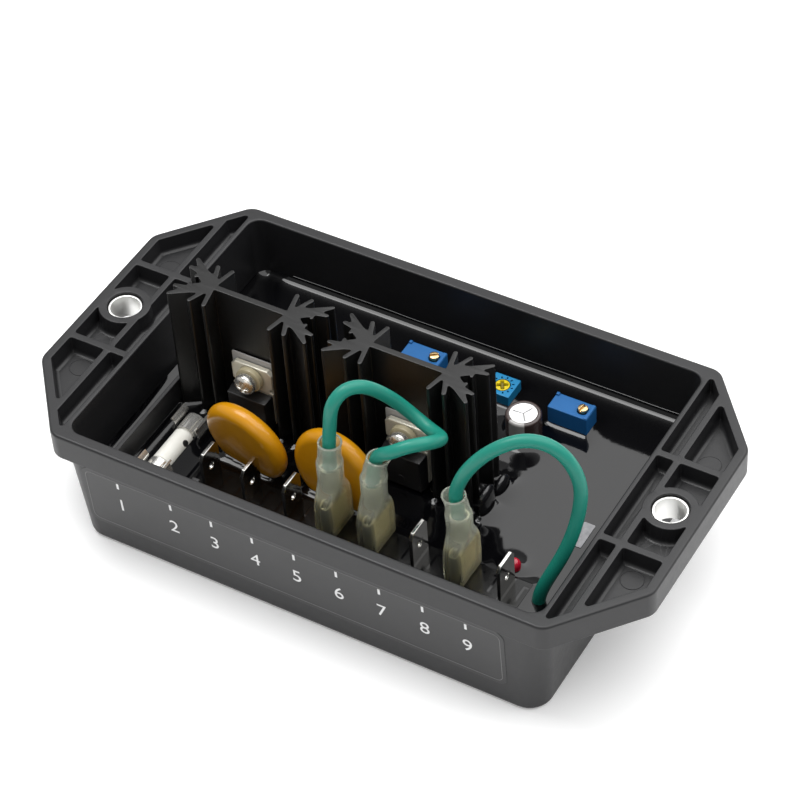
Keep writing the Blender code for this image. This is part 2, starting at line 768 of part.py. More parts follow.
def heat_sink_outline(centre_x, grow=0.0):
    """The whole section: the right hub's walk, and the same walk turned half round."""
    hub = Vector((HUB_OFFSET, 0.0))
    half = WEB_HALF + grow
    front_line = (Vector((0.0, -half)), Vector((HUB_OFFSET, -half)))
    rear_line = (Vector((0.0, half)), Vector((HUB_OFFSET, half)))
    walk = fork_walk(hub, fin_branches(), front_line, rear_line, grow)
    walk += [(-x, -y) for x, y in walk]
    return [(centre_x + x, HEAT_SINK_Y + y) for x, y in walk]


def heat_sink(name, centre_x, material):
    """An extruded section, drilled through its web for the device's screw."""
    top = MOUNTED_BOTTOM + HEAT_SINK_HEIGHT
    sink = plate(name, [heat_sink_outline(centre_x)], MOUNTED_BOTTOM, top, material)
    hole = rod(
        f"{name}_hole", (centre_x, DEVICE_BOTTOM + DEVICE_HOLE_HEIGHT),
        SCREW_SHANK_RADIUS + SEAT_GAP, HEAT_SINK_Y - 2 * WEB_HALF, HEAT_SINK_Y + 2 * WEB_HALF,
        facing="-Y", sides=SMALL_SIDES)
    return cut(sink, hole)


def device_layers():
    """Heights along -Y of what is stacked on the web, from the web outwards."""
    pad_back = HEAT_SINK_Y - WEB_HALF - SEAT_GAP
    pad_front = pad_back - PAD_THICKNESS
    tab_back = pad_front - SEAT_GAP
    tab_front = tab_back - TAB_THICKNESS
    case_back = tab_front - SEAT_GAP
    washer_front = case_back - WASHER_THICKNESS
    return {
        "pad_back": pad_back,
        "pad_front": pad_front,
        "tab_back": tab_back,
        "tab_front": tab_front,
        "tab_middle": (tab_back + tab_front) / 2,
        "case_back": case_back,
        "case_front": case_back - CASE_DEPTH,
        "washer_front": washer_front,
        "head_back": washer_front - SEAT_GAP,
    }


def hole_outline(centre_x, radius):
    """A round hole in a flat piece at the device's screw."""
    return arc((centre_x, DEVICE_BOTTOM + DEVICE_HOLE_HEIGHT), radius, 0.0, 2 * math.pi, SMALL_SIDES)[:-1]


def shoulder_radius():
    """Outer radius of the washer's shoulder, which goes through the tab's hole."""
    return SCREW_SHANK_RADIUS + RUNNING_GAP + SHOULDER_WALL


def insulating_pad(name, centre_x, material):
    """The thin grey sheet between the heat sink and the device."""
    layers = device_layers()
    centre = (centre_x, DEVICE_BOTTOM + PAD_HEIGHT / 2)
    outline = rectangle(centre, PAD_WIDTH / 2, PAD_HEIGHT / 2)
    hole = hole_outline(centre_x, SCREW_SHANK_RADIUS + SEAT_GAP)
    return plate(name, [outline, hole], layers["pad_front"], layers["pad_back"], material, "-Y")


def device_frame(name, centre_x, material):
    """The device's metal tab with its three legs down into the board."""
    layers = device_layers()
    half = TAB_WIDTH / 2
    low = DEVICE_BOTTOM + OVERLAP
    high = low + TAB_HEIGHT
    outline = [
        (centre_x - half, low),
        (centre_x + half, low),
        (centre_x + half, high - TAB_CHAMFER),
        (centre_x + half - TAB_CHAMFER, high),
        (centre_x - half + TAB_CHAMFER, high),
        (centre_x - half, high - TAB_CHAMFER),
    ]
    hole = hole_outline(centre_x, shoulder_radius() + RUNNING_GAP)
    tab = plate(name, [outline, hole], layers["tab_front"], layers["tab_back"], material, "-Y")
    for leg in (-1, 0, 1):
        x = centre_x + leg * LEG_PITCH
        y = layers["tab_middle"]
        join(tab, box(
            f"{name}_leg_{leg + 1}",
            (x - LEG_HALF, y - LEG_HALF, BOARD_BOTTOM),
            (x + LEG_HALF, y + LEG_HALF, low + OVERLAP)))
    return tab


def device_case(name, centre_x, material):
    """The moulded body over the tab's lower half, with drafted sides."""
    layers = device_layers()
    bm = bmesh.new()
    bmesh.ops.create_cube(bm, size=2.0)
    for vert in bm.verts:
        front = vert.co.y < 0
        draft = CASE_DRAFT if front else 0.0
        x = centre_x + vert.co.x * (TAB_WIDTH / 2 - draft)
        y = layers["case_front"] if front else layers["case_back"]
        z = DEVICE_BOTTOM + (CASE_HEIGHT - draft if vert.co.z > 0 else draft)
        vert.co = (x, y, z)
    return add_bmesh(name, bm, material)


def facing_front(centre_x, y):
    """A place on the device's screw axis, with the piece's own Z towards -Y."""
    place = Matrix.Translation((centre_x, y, DEVICE_BOTTOM + DEVICE_HOLE_HEIGHT))
    return place @ Matrix.Rotation(math.pi / 2, 4, "X")


def shoulder_washer(name, centre_x, material):
    """An insulating washer whose shoulder goes into the tab's hole."""
    layers = device_layers()
    bore = SCREW_SHANK_RADIUS + RUNNING_GAP
    thickness = WASHER_THICKNESS
    shoulder = TAB_THICKNESS / 2
    profile = [
        (bore, thickness),
        (WASHER_RADIUS, thickness),
        (WASHER_RADIUS, 0.0),
        (shoulder_radius(), 0.0),
        (shoulder_radius(), -shoulder),
        (bore, -shoulder),
    ]
    place = facing_front(centre_x, layers["case_back"])
    return turned(name, profile, material, place, sides=ROUND_SIDES, closed=True)


def device_screw(name, centre_x, material):
    """A pan-head screw with a cross recess, through washer, tab, pad and web."""
    layers = device_layers()
    reach = layers["head_back"] - (HEAT_SINK_Y + WEB_HALF + SEAT_GAP)
    profile = [
        (0.0, SCREW_HEAD_HEIGHT),
        (SCREW_HEAD_RADIUS * 0.6, SCREW_HEAD_HEIGHT * 0.93),
        (SCREW_HEAD_RADIUS * 0.88, SCREW_HEAD_HEIGHT * 0.72),
        (SCREW_HEAD_RADIUS, SCREW_HEAD_HEIGHT * 0.4),
        (SCREW_HEAD_RADIUS, 0.0),
        (SCREW_SHANK_RADIUS, 0.0),
        (SCREW_SHANK_RADIUS, reach),
        (0.0, reach),
    ]
    screw = turned(
        name, profile, material, facing_front(centre_x, layers["head_back"]), sides=BORE_SIDES)
    centre_z = DEVICE_BOTTOM + DEVICE_HOLE_HEIGHT
    front = layers["head_back"] - SCREW_HEAD_HEIGHT - OVERLAP
    floor = layers["head_back"] - SCREW_HEAD_HEIGHT + SCREW_CROSS_DEPTH
    for index, (half_x, half_z) in enumerate((
            (SCREW_CROSS_LENGTH / 2, SCREW_CROSS_WIDTH / 2), (SCREW_CROSS_WIDTH / 2, SCREW_CROSS_LENGTH / 2))):
        cut(screw, box(
            f"{name}_cross_{index}",
            (centre_x - half_x, front, centre_z - half_z),
            (centre_x + half_x, floor, centre_z + half_z)))
    return screw


def along_y(x, y, z):
    """A place with the piece's own Z turned towards +Y."""
    return Matrix.Translation((x, y, z)) @ Matrix.Rotation(-math.pi / 2, 4, "X")


def fuse_height():
    """Height of the fuse's axis: its clips stand on the board."""
    return MOUNTED_BOTTOM + CLIP_THICKNESS / 2 + clip_path()[0][2]


def clip_path():
    """Half of the clip's bent strip: (x, z) from the fuse's axis, with the drop to its base."""
    hold = FUSE_CAP_RADIUS + SEAT_GAP + CLIP_THICKNESS / 2
    drop = hold + 0.00045
    half = [
        (0.0, -drop),
        (hold * 0.6, -drop),
        (hold * 0.92, -hold * 0.75),
        (hold * 1.05, -hold * 0.15),
        (hold * 1.0, hold * 0.3),
        (hold * 0.88, hold * 0.62),
        (hold * 0.84, hold * 0.78),
        (hold * 1.08, hold * 1.15),
    ]
    return [(x, z, drop) for x, z in half]


def clip_section():
    """The middle line of a whole fuse clip, in the plane across the fuse."""
    half = [(x, z) for x, z, _ in clip_path()]
    path = [(-x, z) for x, z in half[:0:-1]] + half
    return [(FUSE_X + x, fuse_height() + z) for x, z in path]


def clip_span(end):
    """Where a clip lies along the fuse: end is -1 for the front, 1 for the rear."""
    outer = FUSE_CENTRE_Y + end * (FUSE_HALF_LENGTH + CLIP_THICKNESS)
    inner = outer - end * CLIP_LENGTH
    return min(outer, inner), max(outer, inner)


def fuse_clip(name, end, material):
    """A springy bent strip that grips one of the fuse's caps."""
    low, high = clip_span(end)
    outline = strip_outline(clip_section(), CLIP_THICKNESS)
    return plate(name, [outline], low, high, material, "-Y")


def fuse_cap(name, end, material):
    """A pressed cup over one end of the fuse's tube."""
    outer = FUSE_CAP_RADIUS
    inner = outer - FUSE_CAP_WALL
    profile = [
        (0.0, FUSE_CAP_LENGTH),
        (outer - FUSE_CAP_WALL, FUSE_CAP_LENGTH),
        (outer, FUSE_CAP_LENGTH - FUSE_CAP_WALL),
        (outer, 0.0),
        (inner, 0.0),
        (inner, FUSE_CAP_LENGTH - FUSE_CAP_WALL),
        (0.0, FUSE_CAP_LENGTH - FUSE_CAP_WALL),
    ]
    y = FUSE_CENTRE_Y + end * (FUSE_HALF_LENGTH - FUSE_CAP_LENGTH)
    place = Matrix.Translation((FUSE_X, y, fuse_height())) @ Matrix.Rotation(-end * math.pi / 2, 4, "X")
    return turned(name, profile, material, place, sides=BORE_SIDES)


def fuse_tube(material):
    """The ceramic tube, necked where the caps go over it."""
    neck = FUSE_CAP_RADIUS - FUSE_CAP_WALL - RUNNING_GAP
    full = FUSE_HALF_LENGTH - FUSE_CAP_LENGTH - SEAT_GAP
    end = FUSE_HALF_LENGTH - FUSE_CAP_WALL - SEAT_GAP
    profile = [
        (0.0, end),
        (neck, end),
        (neck, full),
        (FUSE_TUBE_RADIUS, full),
        (FUSE_TUBE_RADIUS, -full),
        (neck, -full),
        (neck, -end),
        (0.0, -end),
    ]
    return turned("fuse_tube", profile, material, along_y(FUSE_X, FUSE_CENTRE_Y, fuse_height()), sides=BORE_SIDES)


def varistor_matrix(index):
    """Where a disc stands: its own Z is the disc's axis, along Y."""
    lean = math.radians(VARISTOR_LEANS[index])
    turn = math.radians(VARISTOR_TURNS[index])
    place = Matrix.Translation(VARISTOR_CENTRES[index])
    tilt = Matrix.Rotation(turn, 4, "Z") @ Matrix.Rotation(lean, 4, "X")
    return place @ tilt @ Matrix.Rotation(math.pi / 2, 4, "X")


def varistor_lead_places():
    """Where the discs' leads enter the board."""
    places = []
    for x, y, _ in VARISTOR_CENTRES:
        places += [(x - VARISTOR_LEAD_PITCH / 2, y), (x + VARISTOR_LEAD_PITCH / 2, y)]
    return places


def disc_profile(radius, half):
    """A disc with full round edges, down its outer side."""
    edge = half * 0.8
    profile = [(0.0, half)]
    profile += [(radius - edge + x, half - edge + z) for x, z in arc((0.0, 0.0), edge, math.pi / 2, 0.0, 3)]
    return profile + [(x, -z) for x, z in profile[::-1]]


def varistor(name, index, material):
    """A dipped ceramic disc on two leads."""
    profile = disc_profile(VARISTOR_RADIUS, VARISTOR_THICKNESS / 2)
    disc = turned(name, profile, material, varistor_matrix(index), sides=ROUND_SIDES)
    x, y, z = VARISTOR_CENTRES[index]
    for lead, side in enumerate((-1, 1)):
        lead_x = x + side * VARISTOR_LEAD_PITCH / 2
        pin = rod(
            f"{name}_lead_{lead}", (lead_x, y), LEG_HALF, BOARD_BOTTOM, z - VARISTOR_RADIUS * 0.7,
            sides=SMALL_SIDES // 2)
        pin.matrix_world = Matrix.Translation((0.0, 0.0, 0.0))
        join(disc, pin)
    return disc


def terminal_strip(material):
    """The moulded strip that the spade tabs stand in."""
    strip = plate("terminal_strip", [strip_corners(0.0)], MOUNTED_BOTTOM, STRIP_TOP, material)
    for index in range(TAB_COUNT):
        x, y = spade_place(index)
        half_x = SPADE_THICKNESS / 2 + RUNNING_GAP
        half_y = SPADE_WIDTH / 2 + RUNNING_GAP
        cut(strip, box(
            f"tab_slot_{index}",
            (x - half_x, y - half_y, MOUNTED_BOTTOM - OVERLAP),
            (x + half_x, y + half_y, STRIP_TOP + OVERLAP)))
    return strip


def spade_tab(name, index, material):
    """A blade with chamfered corners and a detent hole, on two pins."""
    half = SPADE_WIDTH / 2
    pin = SPADE_PIN_WIDTH
    low = MOUNTED_BOTTOM
    foot = BOARD_BOTTOM
    side = [
        (half, foot),
        (half, SPADE_TOP - SPADE_CHAMFER * 1.4),
        (half - SPADE_CHAMFER, SPADE_TOP),
    ]
    outline = [(-half + pin, foot), (-half + pin, low), (half - pin, low), (half - pin, foot)]
    outline += side + [(-across, z) for across, z in side[::-1]]
    x, y = spade_place(index)
    outline = [(y + across, z) for across, z in outline]
    hole = arc((y, SPADE_HOLE_HEIGHT), SPADE_HOLE_RADIUS, 0.0, 2 * math.pi, SMALL_SIDES)[:-1]
    half_x = SPADE_THICKNESS / 2
    return plate(name, [outline, hole], x - half_x, x + half_x, material, "X")


def receptacle_path():
    """The folded clip round a blade, from one rolled lip round the back to the other."""
    back = SPADE_THICKNESS / 2 + SEAT_GAP + RECEPTACLE_THICKNESS / 2
    lip = back + 0.00005
    width = SPADE_WIDTH / 2 + SEAT_GAP + RECEPTACLE_THICKNESS / 2
    half = [
        (-lip, 0.0012),
        (-lip - 0.00015, 0.0025),
        (-0.0006, width - 0.00015),
        (0.00005, width),
        (0.0007, width - 0.00015),
        (back, width - 0.00055),
    ]
    return half + [(x, -y) for x, y in half[::-1]]


def receptacle(name, index, material):
    """A push-on receptacle: a clip round the blade, a neck and a crimped barrel."""
    x, y = spade_place(index)
    outline = strip_outline(receptacle_path(), RECEPTACLE_THICKNESS)
    outline = [(x + across, y + along) for across, along in outline]
    low = STRIP_TOP + 2 * SEAT_GAP
    high = low + RECEPTACLE_LENGTH
    clip = plate(name, [outline], low, high, material)
    back = SPADE_THICKNESS / 2 + SEAT_GAP + RECEPTACLE_THICKNESS / 2
    barrel_inner = WIRE_RADIUS + RUNNING_GAP
    barrel_outer = barrel_inner + BARREL_WALL
    neck_x = barrel_outer - RECEPTACLE_THICKNESS / 2
    neck_path = [
        (x + back, high - 2 * OVERLAP),
        (x + back, high + OVERLAP),
        (x + neck_x, BARREL_BOTTOM),
        (x + neck_x, BARREL_BOTTOM + 3 * OVERLAP),
    ]
    neck_half = RECEPTACLE_THICKNESS * 3
    neck = plate(
        f"{name}_neck", [strip_outline(neck_path, RECEPTACLE_THICKNESS)],
        y - neck_half, y + neck_half, None, "-Y")
    profile = [
        (barrel_inner, BARREL_TOP),
        (barrel_outer, BARREL_TOP),
        (barrel_outer, BARREL_BOTTOM),
        (barrel_inner, BARREL_BOTTOM),
    ]
    place = Matrix.Translation((x, y, 0.0))
    barrel = turned(f"{name}_barrel", profile, None, place, sides=SMALL_SIDES, closed=True)
    bore = rod(
        f"{name}_bore", (x, y), barrel_inner, BARREL_BOTTOM - OVERLAP, BARREL_TOP + OVERLAP,
        sides=SMALL_SIDES)
    join(clip, neck, barrel)
    return cut(clip, bore)


def boot_ring(centre, height, half_x, half_y, squareness, sides):
    """One section of a boot: an oval whose corners fill out as squareness grows."""
    ring = []
    for step in range(sides):
        angle = 2 * math.pi * step / sides
        cosine = math.cos(angle)
        sine = math.sin(angle)
        x = half_x * math.copysign(abs(cosine) ** (2 / squareness), cosine)
        y = half_y * math.copysign(abs(sine) ** (2 / squareness), sine)
        ring.append((centre[0] + x, centre[1] + y, height))
    return ring


def boot(name, order, material):
    """A soft sleeve, oblong over the receptacle and round over the wire, open at both ends."""
    x, y = spade_place(WIRED_TABS[order])
    neck_top = BOOT_NECK_TOPS[order]
    lean = BOOT_LEANS[order]
    neck = BOOT_NECK_RADIUS
    low = STRIP_TOP + SEAT_GAP
    stations = [
        (0.0, low, BOOT_HALF_THICKNESS, BOOT_HALF_WIDTH, 6.0),
        (0.0, BOOT_SHOULDER - 0.002, BOOT_HALF_THICKNESS, BOOT_HALF_WIDTH, 6.0),
        (0.0, BOOT_SHOULDER, BOOT_HALF_THICKNESS * 1.08, BOOT_HALF_WIDTH * 0.94, 4.0),
        (0.0, BOOT_SHOULDER + 0.0012, neck * 0.98, BOOT_HALF_WIDTH * 0.74, 2.6),
        (0.0, BOOT_SHOULDER + 0.0024, neck * 1.02, neck * 1.06, 2.1),
        (lean / 4, (BOOT_SHOULDER + neck_top) / 2, neck, neck, 2.0),
        (lean, neck_top, neck * 0.95, neck * 0.95, 2.0),
    ]
    sides = ROUND_SIDES * 2 // 3
    verts = []
    for shift, height, half_x, half_y, squareness in stations:
        centre = (x + BOOT_SHIFT + shift, y)
        verts += boot_ring(centre, height, half_x, half_y, squareness, sides)
    faces = []
    for row in range(len(stations) - 1):
        for step in range(sides):
            a = row * sides + step
            b = row * sides + (step + 1) % sides
            faces.append((a, b, b + sides, a + sides))
    mesh = bpy.data.meshes.new(name)
    mesh.from_pydata(verts, [], faces)
    mesh.shade_smooth()
    sleeve = add_object(name, mesh, material)
    shell = sleeve.modifiers.new("wall", "SOLIDIFY")
    shell.thickness = BOOT_WALL
    shell.offset = -1.0
    return sleeve


def smooth_route(points, spacing):
    """Points at an even spacing on the natural cubic spline through a route."""
    route = np.array(points)
    chords = np.linalg.norm(np.diff(route, axis=0), axis=1)
    knots = np.concatenate(([0.0], np.cumsum(chords)))
    count = len(route)
    system = np.eye(count)
    rises = np.zeros_like(route)
    for index in range(1, count - 1):
        before = chords[index - 1]
        after = chords[index]
        system[index, index - 1:index + 2] = (before, 2 * (before + after), after)
        rises[index] = 6 * (
            (route[index + 1] - route[index]) / after - (route[index] - route[index - 1]) / before)
    bends = np.linalg.solve(system, rises)

    def at(place):
        index = int(np.clip(np.searchsorted(knots, place) - 1, 0, count - 2))
        chord = chords[index]
        ahead = (place - knots[index]) / chord
        behind = 1.0 - ahead
        curved = (behind ** 3 - behind) * bends[index] + (ahead ** 3 - ahead) * bends[index + 1]
        return behind * route[index] + ahead * route[index + 1] + curved * chord ** 2 / 6

    fine = np.array([at(place) for place in np.linspace(0.0, knots[-1], 600)])
    lengths = np.concatenate(([0.0], np.cumsum(np.linalg.norm(np.diff(fine, axis=0), axis=1))))
    steps = max(int(round(lengths[-1] / spacing)), 4)
    places = np.linspace(0.0, lengths[-1], steps + 1)
    return np.column_stack([np.interp(places, lengths, fine[:, axis]) for axis in range(3)])


def wire_route(order, route, end_order=None):
    """A route's points in the tray's frame: along X from its tab, height, and back from its tab."""
    x, y = spade_place(WIRED_TABS[order])
    points = [(x, y, WIRE_START)]
    points += [(x + along, y + back, height) for along, height, back in route]
    if end_order is not None:
        points.append((*spade_place(WIRED_TABS[end_order]), WIRE_START))
    return points


def wire(name, points, radius, material=None):
    """A round wire along a smooth route."""
    curve = bpy.data.curves.new(name, "CURVE")
    curve.dimensions = "3D"
    curve.bevel_depth = radius
    curve.bevel_resolution = 2
    curve.use_fill_caps = True
    spline = curve.splines.new("POLY")
    route = smooth_route(points, WIRE_POINT_SPACING)
    spline.points.add(len(route) - 1)
    for point, place in zip(spline.points, route):
        point.co = (*place, 1.0)
    return add_object(name, curve, material)


def trimmer_body(name, centre, material):
    """The moulded block of a multi-turn trimmer, bored for its adjusting screw."""
    x, y = centre
    body = box(
        name,
        (x - TRIMMER_LENGTH / 2, y - TRIMMER_WIDTH / 2, MOUNTED_BOTTOM),
        (x + TRIMMER_LENGTH / 2, y + TRIMMER_WIDTH / 2, TRIMMER_TOP),
        material, TRIMMER_EDGE)
    bore = rod(
        f"{name}_bore", (x + TRIMMER_SCREW_OFFSET, y), TRIMMER_SCREW_RADIUS + RUNNING_GAP,
        TRIMMER_TOP - TRIMMER_SCREW_DEPTH, TRIMMER_TOP + OVERLAP)
    return cut(body, bore)


def trimmer_screw(name, centre, material):
    """A slotted brass screw that turns in the trimmer's bore."""
    x = centre[0] + TRIMMER_SCREW_OFFSET
    depth = TRIMMER_SCREW_RISE + TRIMMER_SCREW_DEPTH - SEAT_GAP
    edge = TRIMMER_SCREW_RADIUS * 0.15
    profile = [
        (0.0, 0.0),
        (TRIMMER_SCREW_RADIUS - edge, 0.0),
        (TRIMMER_SCREW_RADIUS, -edge),
        (TRIMMER_SCREW_RADIUS, -depth),
        (0.0, -depth),
    ]
    place = Matrix.Translation((x, centre[1], TRIMMER_TOP + TRIMMER_SCREW_RISE))
    screw = turned(name, profile, material, place, sides=BORE_SIDES)
    half = TRIMMER_SLOT_WIDTH / 2
    slot = box(
        f"{name}_slot",
        (-TRIMMER_SCREW_RADIUS - OVERLAP, -half, -TRIMMER_SLOT_DEPTH),
        (TRIMMER_SCREW_RADIUS + OVERLAP, half, OVERLAP))
    slot.matrix_world = place @ Matrix.Rotation(math.radians(35.0), 4, "Z")
    return cut(screw, slot)


def rotary_body(material):
    """The single-turn trimmer's block, with one corner cut off and a seat for the rotor."""
    x, y = ROTARY_CENTRE
    corners = rectangle(ROTARY_CENTRE, ROTARY_LENGTH / 2, ROTARY_WIDTH / 2)
    left, front = corners[0]
    cut_corner = [(left, front + ROTARY_CUT_CORNER), (left + ROTARY_CUT_CORNER, front)]
    body = plate("rotary_trimmer_body", [cut_corner + corners[1:]], MOUNTED_BOTTOM, ROTARY_TOP, material)
    seat = rod(
        "rotor_seat", (x, y), ROTOR_RADIUS + RUNNING_GAP, ROTARY_TOP - ROTOR_DEPTH, ROTARY_TOP + OVERLAP)
    return cut(body, seat)


def rotor(material):
    """The rotor of the single-turn trimmer, with a cross slot."""
    x, y = ROTARY_CENTRE
    depth = ROTOR_DEPTH - SEAT_GAP
    edge = ROTOR_RADIUS * 0.1
    profile = [
        (0.0, 0.0),
        (ROTOR_RADIUS - edge, 0.0),
        (ROTOR_RADIUS, -edge),
        (ROTOR_RADIUS, -depth),
        (0.0, -depth),
    ]
    place = Matrix.Translation((x, y, ROTARY_TOP))
    disc = turned("rotary_trimmer_rotor", profile, material, place, sides=BORE_SIDES)
    half = ROTOR_CROSS_WIDTH / 2
    reach = ROTOR_RADIUS * 0.78
    for index, (half_x, half_y) in enumerate(((reach, half), (half, reach))):
        slot = box(
            f"rotor_slot_{index}", (-half_x, -half_y, -ROTOR_CROSS_DEPTH), (half_x, half_y, OVERLAP))
        slot.matrix_world = place @ Matrix.Rotation(math.radians(30.0), 4, "Z")
        cut(disc, slot)
    return disc


def capacitor_can(material):
    """The drawn can, with a rounded top edge and a groove near its base."""
    radius = CAPACITOR_RADIUS - SLEEVE_WALL - RUNNING_GAP
    top = CAPACITOR_TOP - SLEEVE_WALL - RUNNING_GAP
    groove = MOUNTED_BOTTOM + 0.0012
    profile = [(0.0, top)]
    profile += arc((radius - CAN_EDGE_RADIUS, top - CAN_EDGE_RADIUS), CAN_EDGE_RADIUS, math.pi / 2, 0.0, 2)
    profile += [
        (radius, groove + 0.0005),
        (radius - 0.0004, groove),
        (radius, groove - 0.0005),
        (radius, MOUNTED_BOTTOM),
        (0.0, MOUNTED_BOTTOM),
    ]
    return turned("capacitor_can", profile, material, Matrix.Translation((*CAPACITOR_CENTRE, 0.0)))


def capacitor_sleeve(material):
    """The shrunk sleeve, turned in over the can's top edge."""
    outer = CAPACITOR_RADIUS
    inner = outer - SLEEVE_WALL
    lip = outer - SLEEVE_LIP
    profile = [
        (lip, CAPACITOR_TOP),
        (outer - CAN_EDGE_RADIUS, CAPACITOR_TOP),
        (outer, CAPACITOR_TOP - CAN_EDGE_RADIUS),
        (outer, MOUNTED_BOTTOM),
        (inner, MOUNTED_BOTTOM),
        (inner, CAPACITOR_TOP - CAN_EDGE_RADIUS - SLEEVE_WALL / 2),
        (inner - CAN_EDGE_RADIUS + SLEEVE_WALL / 2, CAPACITOR_TOP - SLEEVE_WALL),
        (lip, CAPACITOR_TOP - SLEEVE_WALL),
    ]
    place = Matrix.Translation((*CAPACITOR_CENTRE, 0.0))
    return turned("capacitor_sleeve", profile, material, place, closed=True)


def led_leg_places():
    """Where the LED's two legs enter the board."""
    x, y = LED_CENTRE
    return [(x - LED_LEG_PITCH / 2, y), (x + LED_LEG_PITCH / 2, y)]


def led(material):
    """A domed LED with a flange at its foot, on two legs."""
    dome = LED_TOP - LED_RADIUS
    foot = LED_TOP - LED_HEIGHT
    profile = [
        (LED_RADIUS * math.sin(math.radians(angle)), dome + LED_RADIUS * math.cos(math.radians(angle)))
        for angle in (0, 30, 60, 90)]
    profile += [
        (LED_RADIUS, foot + 0.001),
        (LED_FLANGE_RADIUS, foot + 0.001),
        (LED_FLANGE_RADIUS, foot),
        (0.0, foot),
    ]
    lamp = turned("led", profile, material, Matrix.Translation((*LED_CENTRE, 0.0)), sides=BORE_SIDES)
    for index, place in enumerate(led_leg_places()):
        join(lamp, rod(
            f"led_leg_{index}", place, LEG_HALF, BOARD_BOTTOM, foot + OVERLAP, sides=SMALL_SIDES // 2))
    return lamp


def dipped_matrix(centre, grow=0.0):
    """Where a dipped component stands, squeezed along X to its thickness."""
    squeeze = (DIPPED_HALF_THICKNESS + grow) / (DIPPED_HALF_WIDTH + grow)
    return Matrix.Translation((*centre, 0.0)) @ Matrix.Diagonal((squeeze, 1.0, 1.0, 1.0))


def dipped_component(name, index, material):
    """A component dipped in glossy resin: a round-topped blob that stands on the board."""
    radius = DIPPED_HALF_WIDTH
    shoulder = DIPPED_TOPS[index] - radius * 0.8
    profile = [
        (radius * math.sin(math.radians(angle)), shoulder + radius * 0.8 * math.cos(math.radians(angle)))
        for angle in (0, 25, 50, 72, 90)]
    profile += [(radius, MOUNTED_BOTTOM), (0.0, MOUNTED_BOTTOM)]
    return turned(name, profile, material, dipped_matrix(DIPPED_CENTRES[index]), sides=BORE_SIDES)


def resin_pockets():
    """What the resin leaves free: each piece that goes down into it, with its clearance."""
    above = RESIN_TOP + OVERLAP
    inside_board = (BOARD_BOTTOM + BOARD_TOP) / 2
    half_length, half_width = tray_half_size(BOARD_BOTTOM, TRAY_WALL + BOARD_EDGE_GAP - SEAT_GAP)
    pockets = [
        box("board_room", (-half_length, -half_width, BOARD_BOTTOM - SEAT_GAP),
            (half_length, half_width, MOUNTED_BOTTOM)),
        divider_notch("divider_room", above),
        mirrored(rod("post_room", (POST_X, POST_Y), POST_RADIUS + SEAT_GAP, 0.0, inside_board,
                     sides=SMALL_SIDES), True, True),
    ]
    for index, centre_x in enumerate(HEAT_SINK_X):
        outline = heat_sink_outline(centre_x, SEAT_GAP)
        pockets.append(plate(f"heat_sink_room_{index}", [outline], inside_board, above))
    pockets += leg_boxes("leg_room", RUNNING_GAP)
    pockets += fuse_rooms(inside_board)
    for index in range(len(VARISTOR_CENTRES)):
        profile = disc_profile(VARISTOR_RADIUS + SEAT_GAP, VARISTOR_THICKNESS / 2 + SEAT_GAP)
        pockets.append(turned(f"varistor_room_{index}", profile, None, varistor_matrix(index)))
    for index, place in enumerate(varistor_lead_places() + led_leg_places()):
        pockets.append(rod(
            f"lead_room_{index}", place, LEG_HALF + RUNNING_GAP, inside_board, RESIN_TOP - 2 * OVERLAP,
            sides=SMALL_SIDES // 2))
    pockets += block_rooms(inside_board, above)
    link_end = wire("link_room", wire_route(2, LINK_ROUTE), WIRE_RADIUS + 1.6 * SEAT_GAP)
    bpy.context.view_layer.update()
    pockets.append(mesh_from_curve(link_end))
    return pockets


def fuse_rooms(low):
    """Pockets round the fuse's clips, caps and tube."""
    rooms = []
    for name, end in (("front", -1), ("rear", 1)):
        near, far = clip_span(end)
        _, outside = strip_sides(clip_section(), CLIP_THICKNESS + 2 * SEAT_GAP)
        rooms.append(plate(f"clip_room_{name}", [outside], near - SEAT_GAP, far + SEAT_GAP, None, "-Y"))
        centre = (FUSE_X, fuse_height())
        middle = FUSE_CENTRE_Y + end * FUSE_HALF_LENGTH
        inner = FUSE_CENTRE_Y + end * (FUSE_HALF_LENGTH - FUSE_CAP_LENGTH - SEAT_GAP)
        ends = sorted((middle + end * SEAT_GAP, inner))
        rooms.append(rod(
            f"cap_room_{name}", centre, FUSE_CAP_RADIUS + SEAT_GAP, ends[0], ends[1], facing="-Y"))
    rooms.append(rod(
        "tube_room", (FUSE_X, fuse_height()), FUSE_TUBE_RADIUS + SEAT_GAP,
        FUSE_CENTRE_Y - FUSE_HALF_LENGTH + FUSE_CAP_LENGTH - OVERLAP,
        FUSE_CENTRE_Y + FUSE_HALF_LENGTH - FUSE_CAP_LENGTH + OVERLAP, facing="-Y"))
    return rooms


def block_rooms(low, high):
    """Pockets round the terminal strip, trimmers, capacitor, LED and dipped components."""
    rooms = []
    rooms.append(plate("strip_room", [strip_corners(SEAT_GAP)], low, high))
    blocks = [(centre, TRIMMER_LENGTH, TRIMMER_WIDTH) for centre in TRIMMER_CENTRES]
    blocks.append((ROTARY_CENTRE, ROTARY_LENGTH, ROTARY_WIDTH))
    for index, ((x, y), length, width) in enumerate(blocks):
        half_x = length / 2 + SEAT_GAP
        half_y = width / 2 + SEAT_GAP
        rooms.append(box(f"trimmer_room_{index}", (x - half_x, y - half_y, low), (x + half_x, y + half_y, high)))
    rooms.append(rod(
        "capacitor_room", CAPACITOR_CENTRE, CAPACITOR_RADIUS + SEAT_GAP, low, high, sides=ROUND_SIDES))
    rooms.append(rod("led_room", LED_CENTRE, LED_FLANGE_RADIUS + SEAT_GAP, low, high))
    for index, centre in enumerate(DIPPED_CENTRES):
        room = rod(f"dipped_room_{index}", (0.0, 0.0), DIPPED_HALF_WIDTH + SEAT_GAP, low, high)
        room.matrix_world = dipped_matrix(centre, SEAT_GAP)
        rooms.append(room)
    return rooms


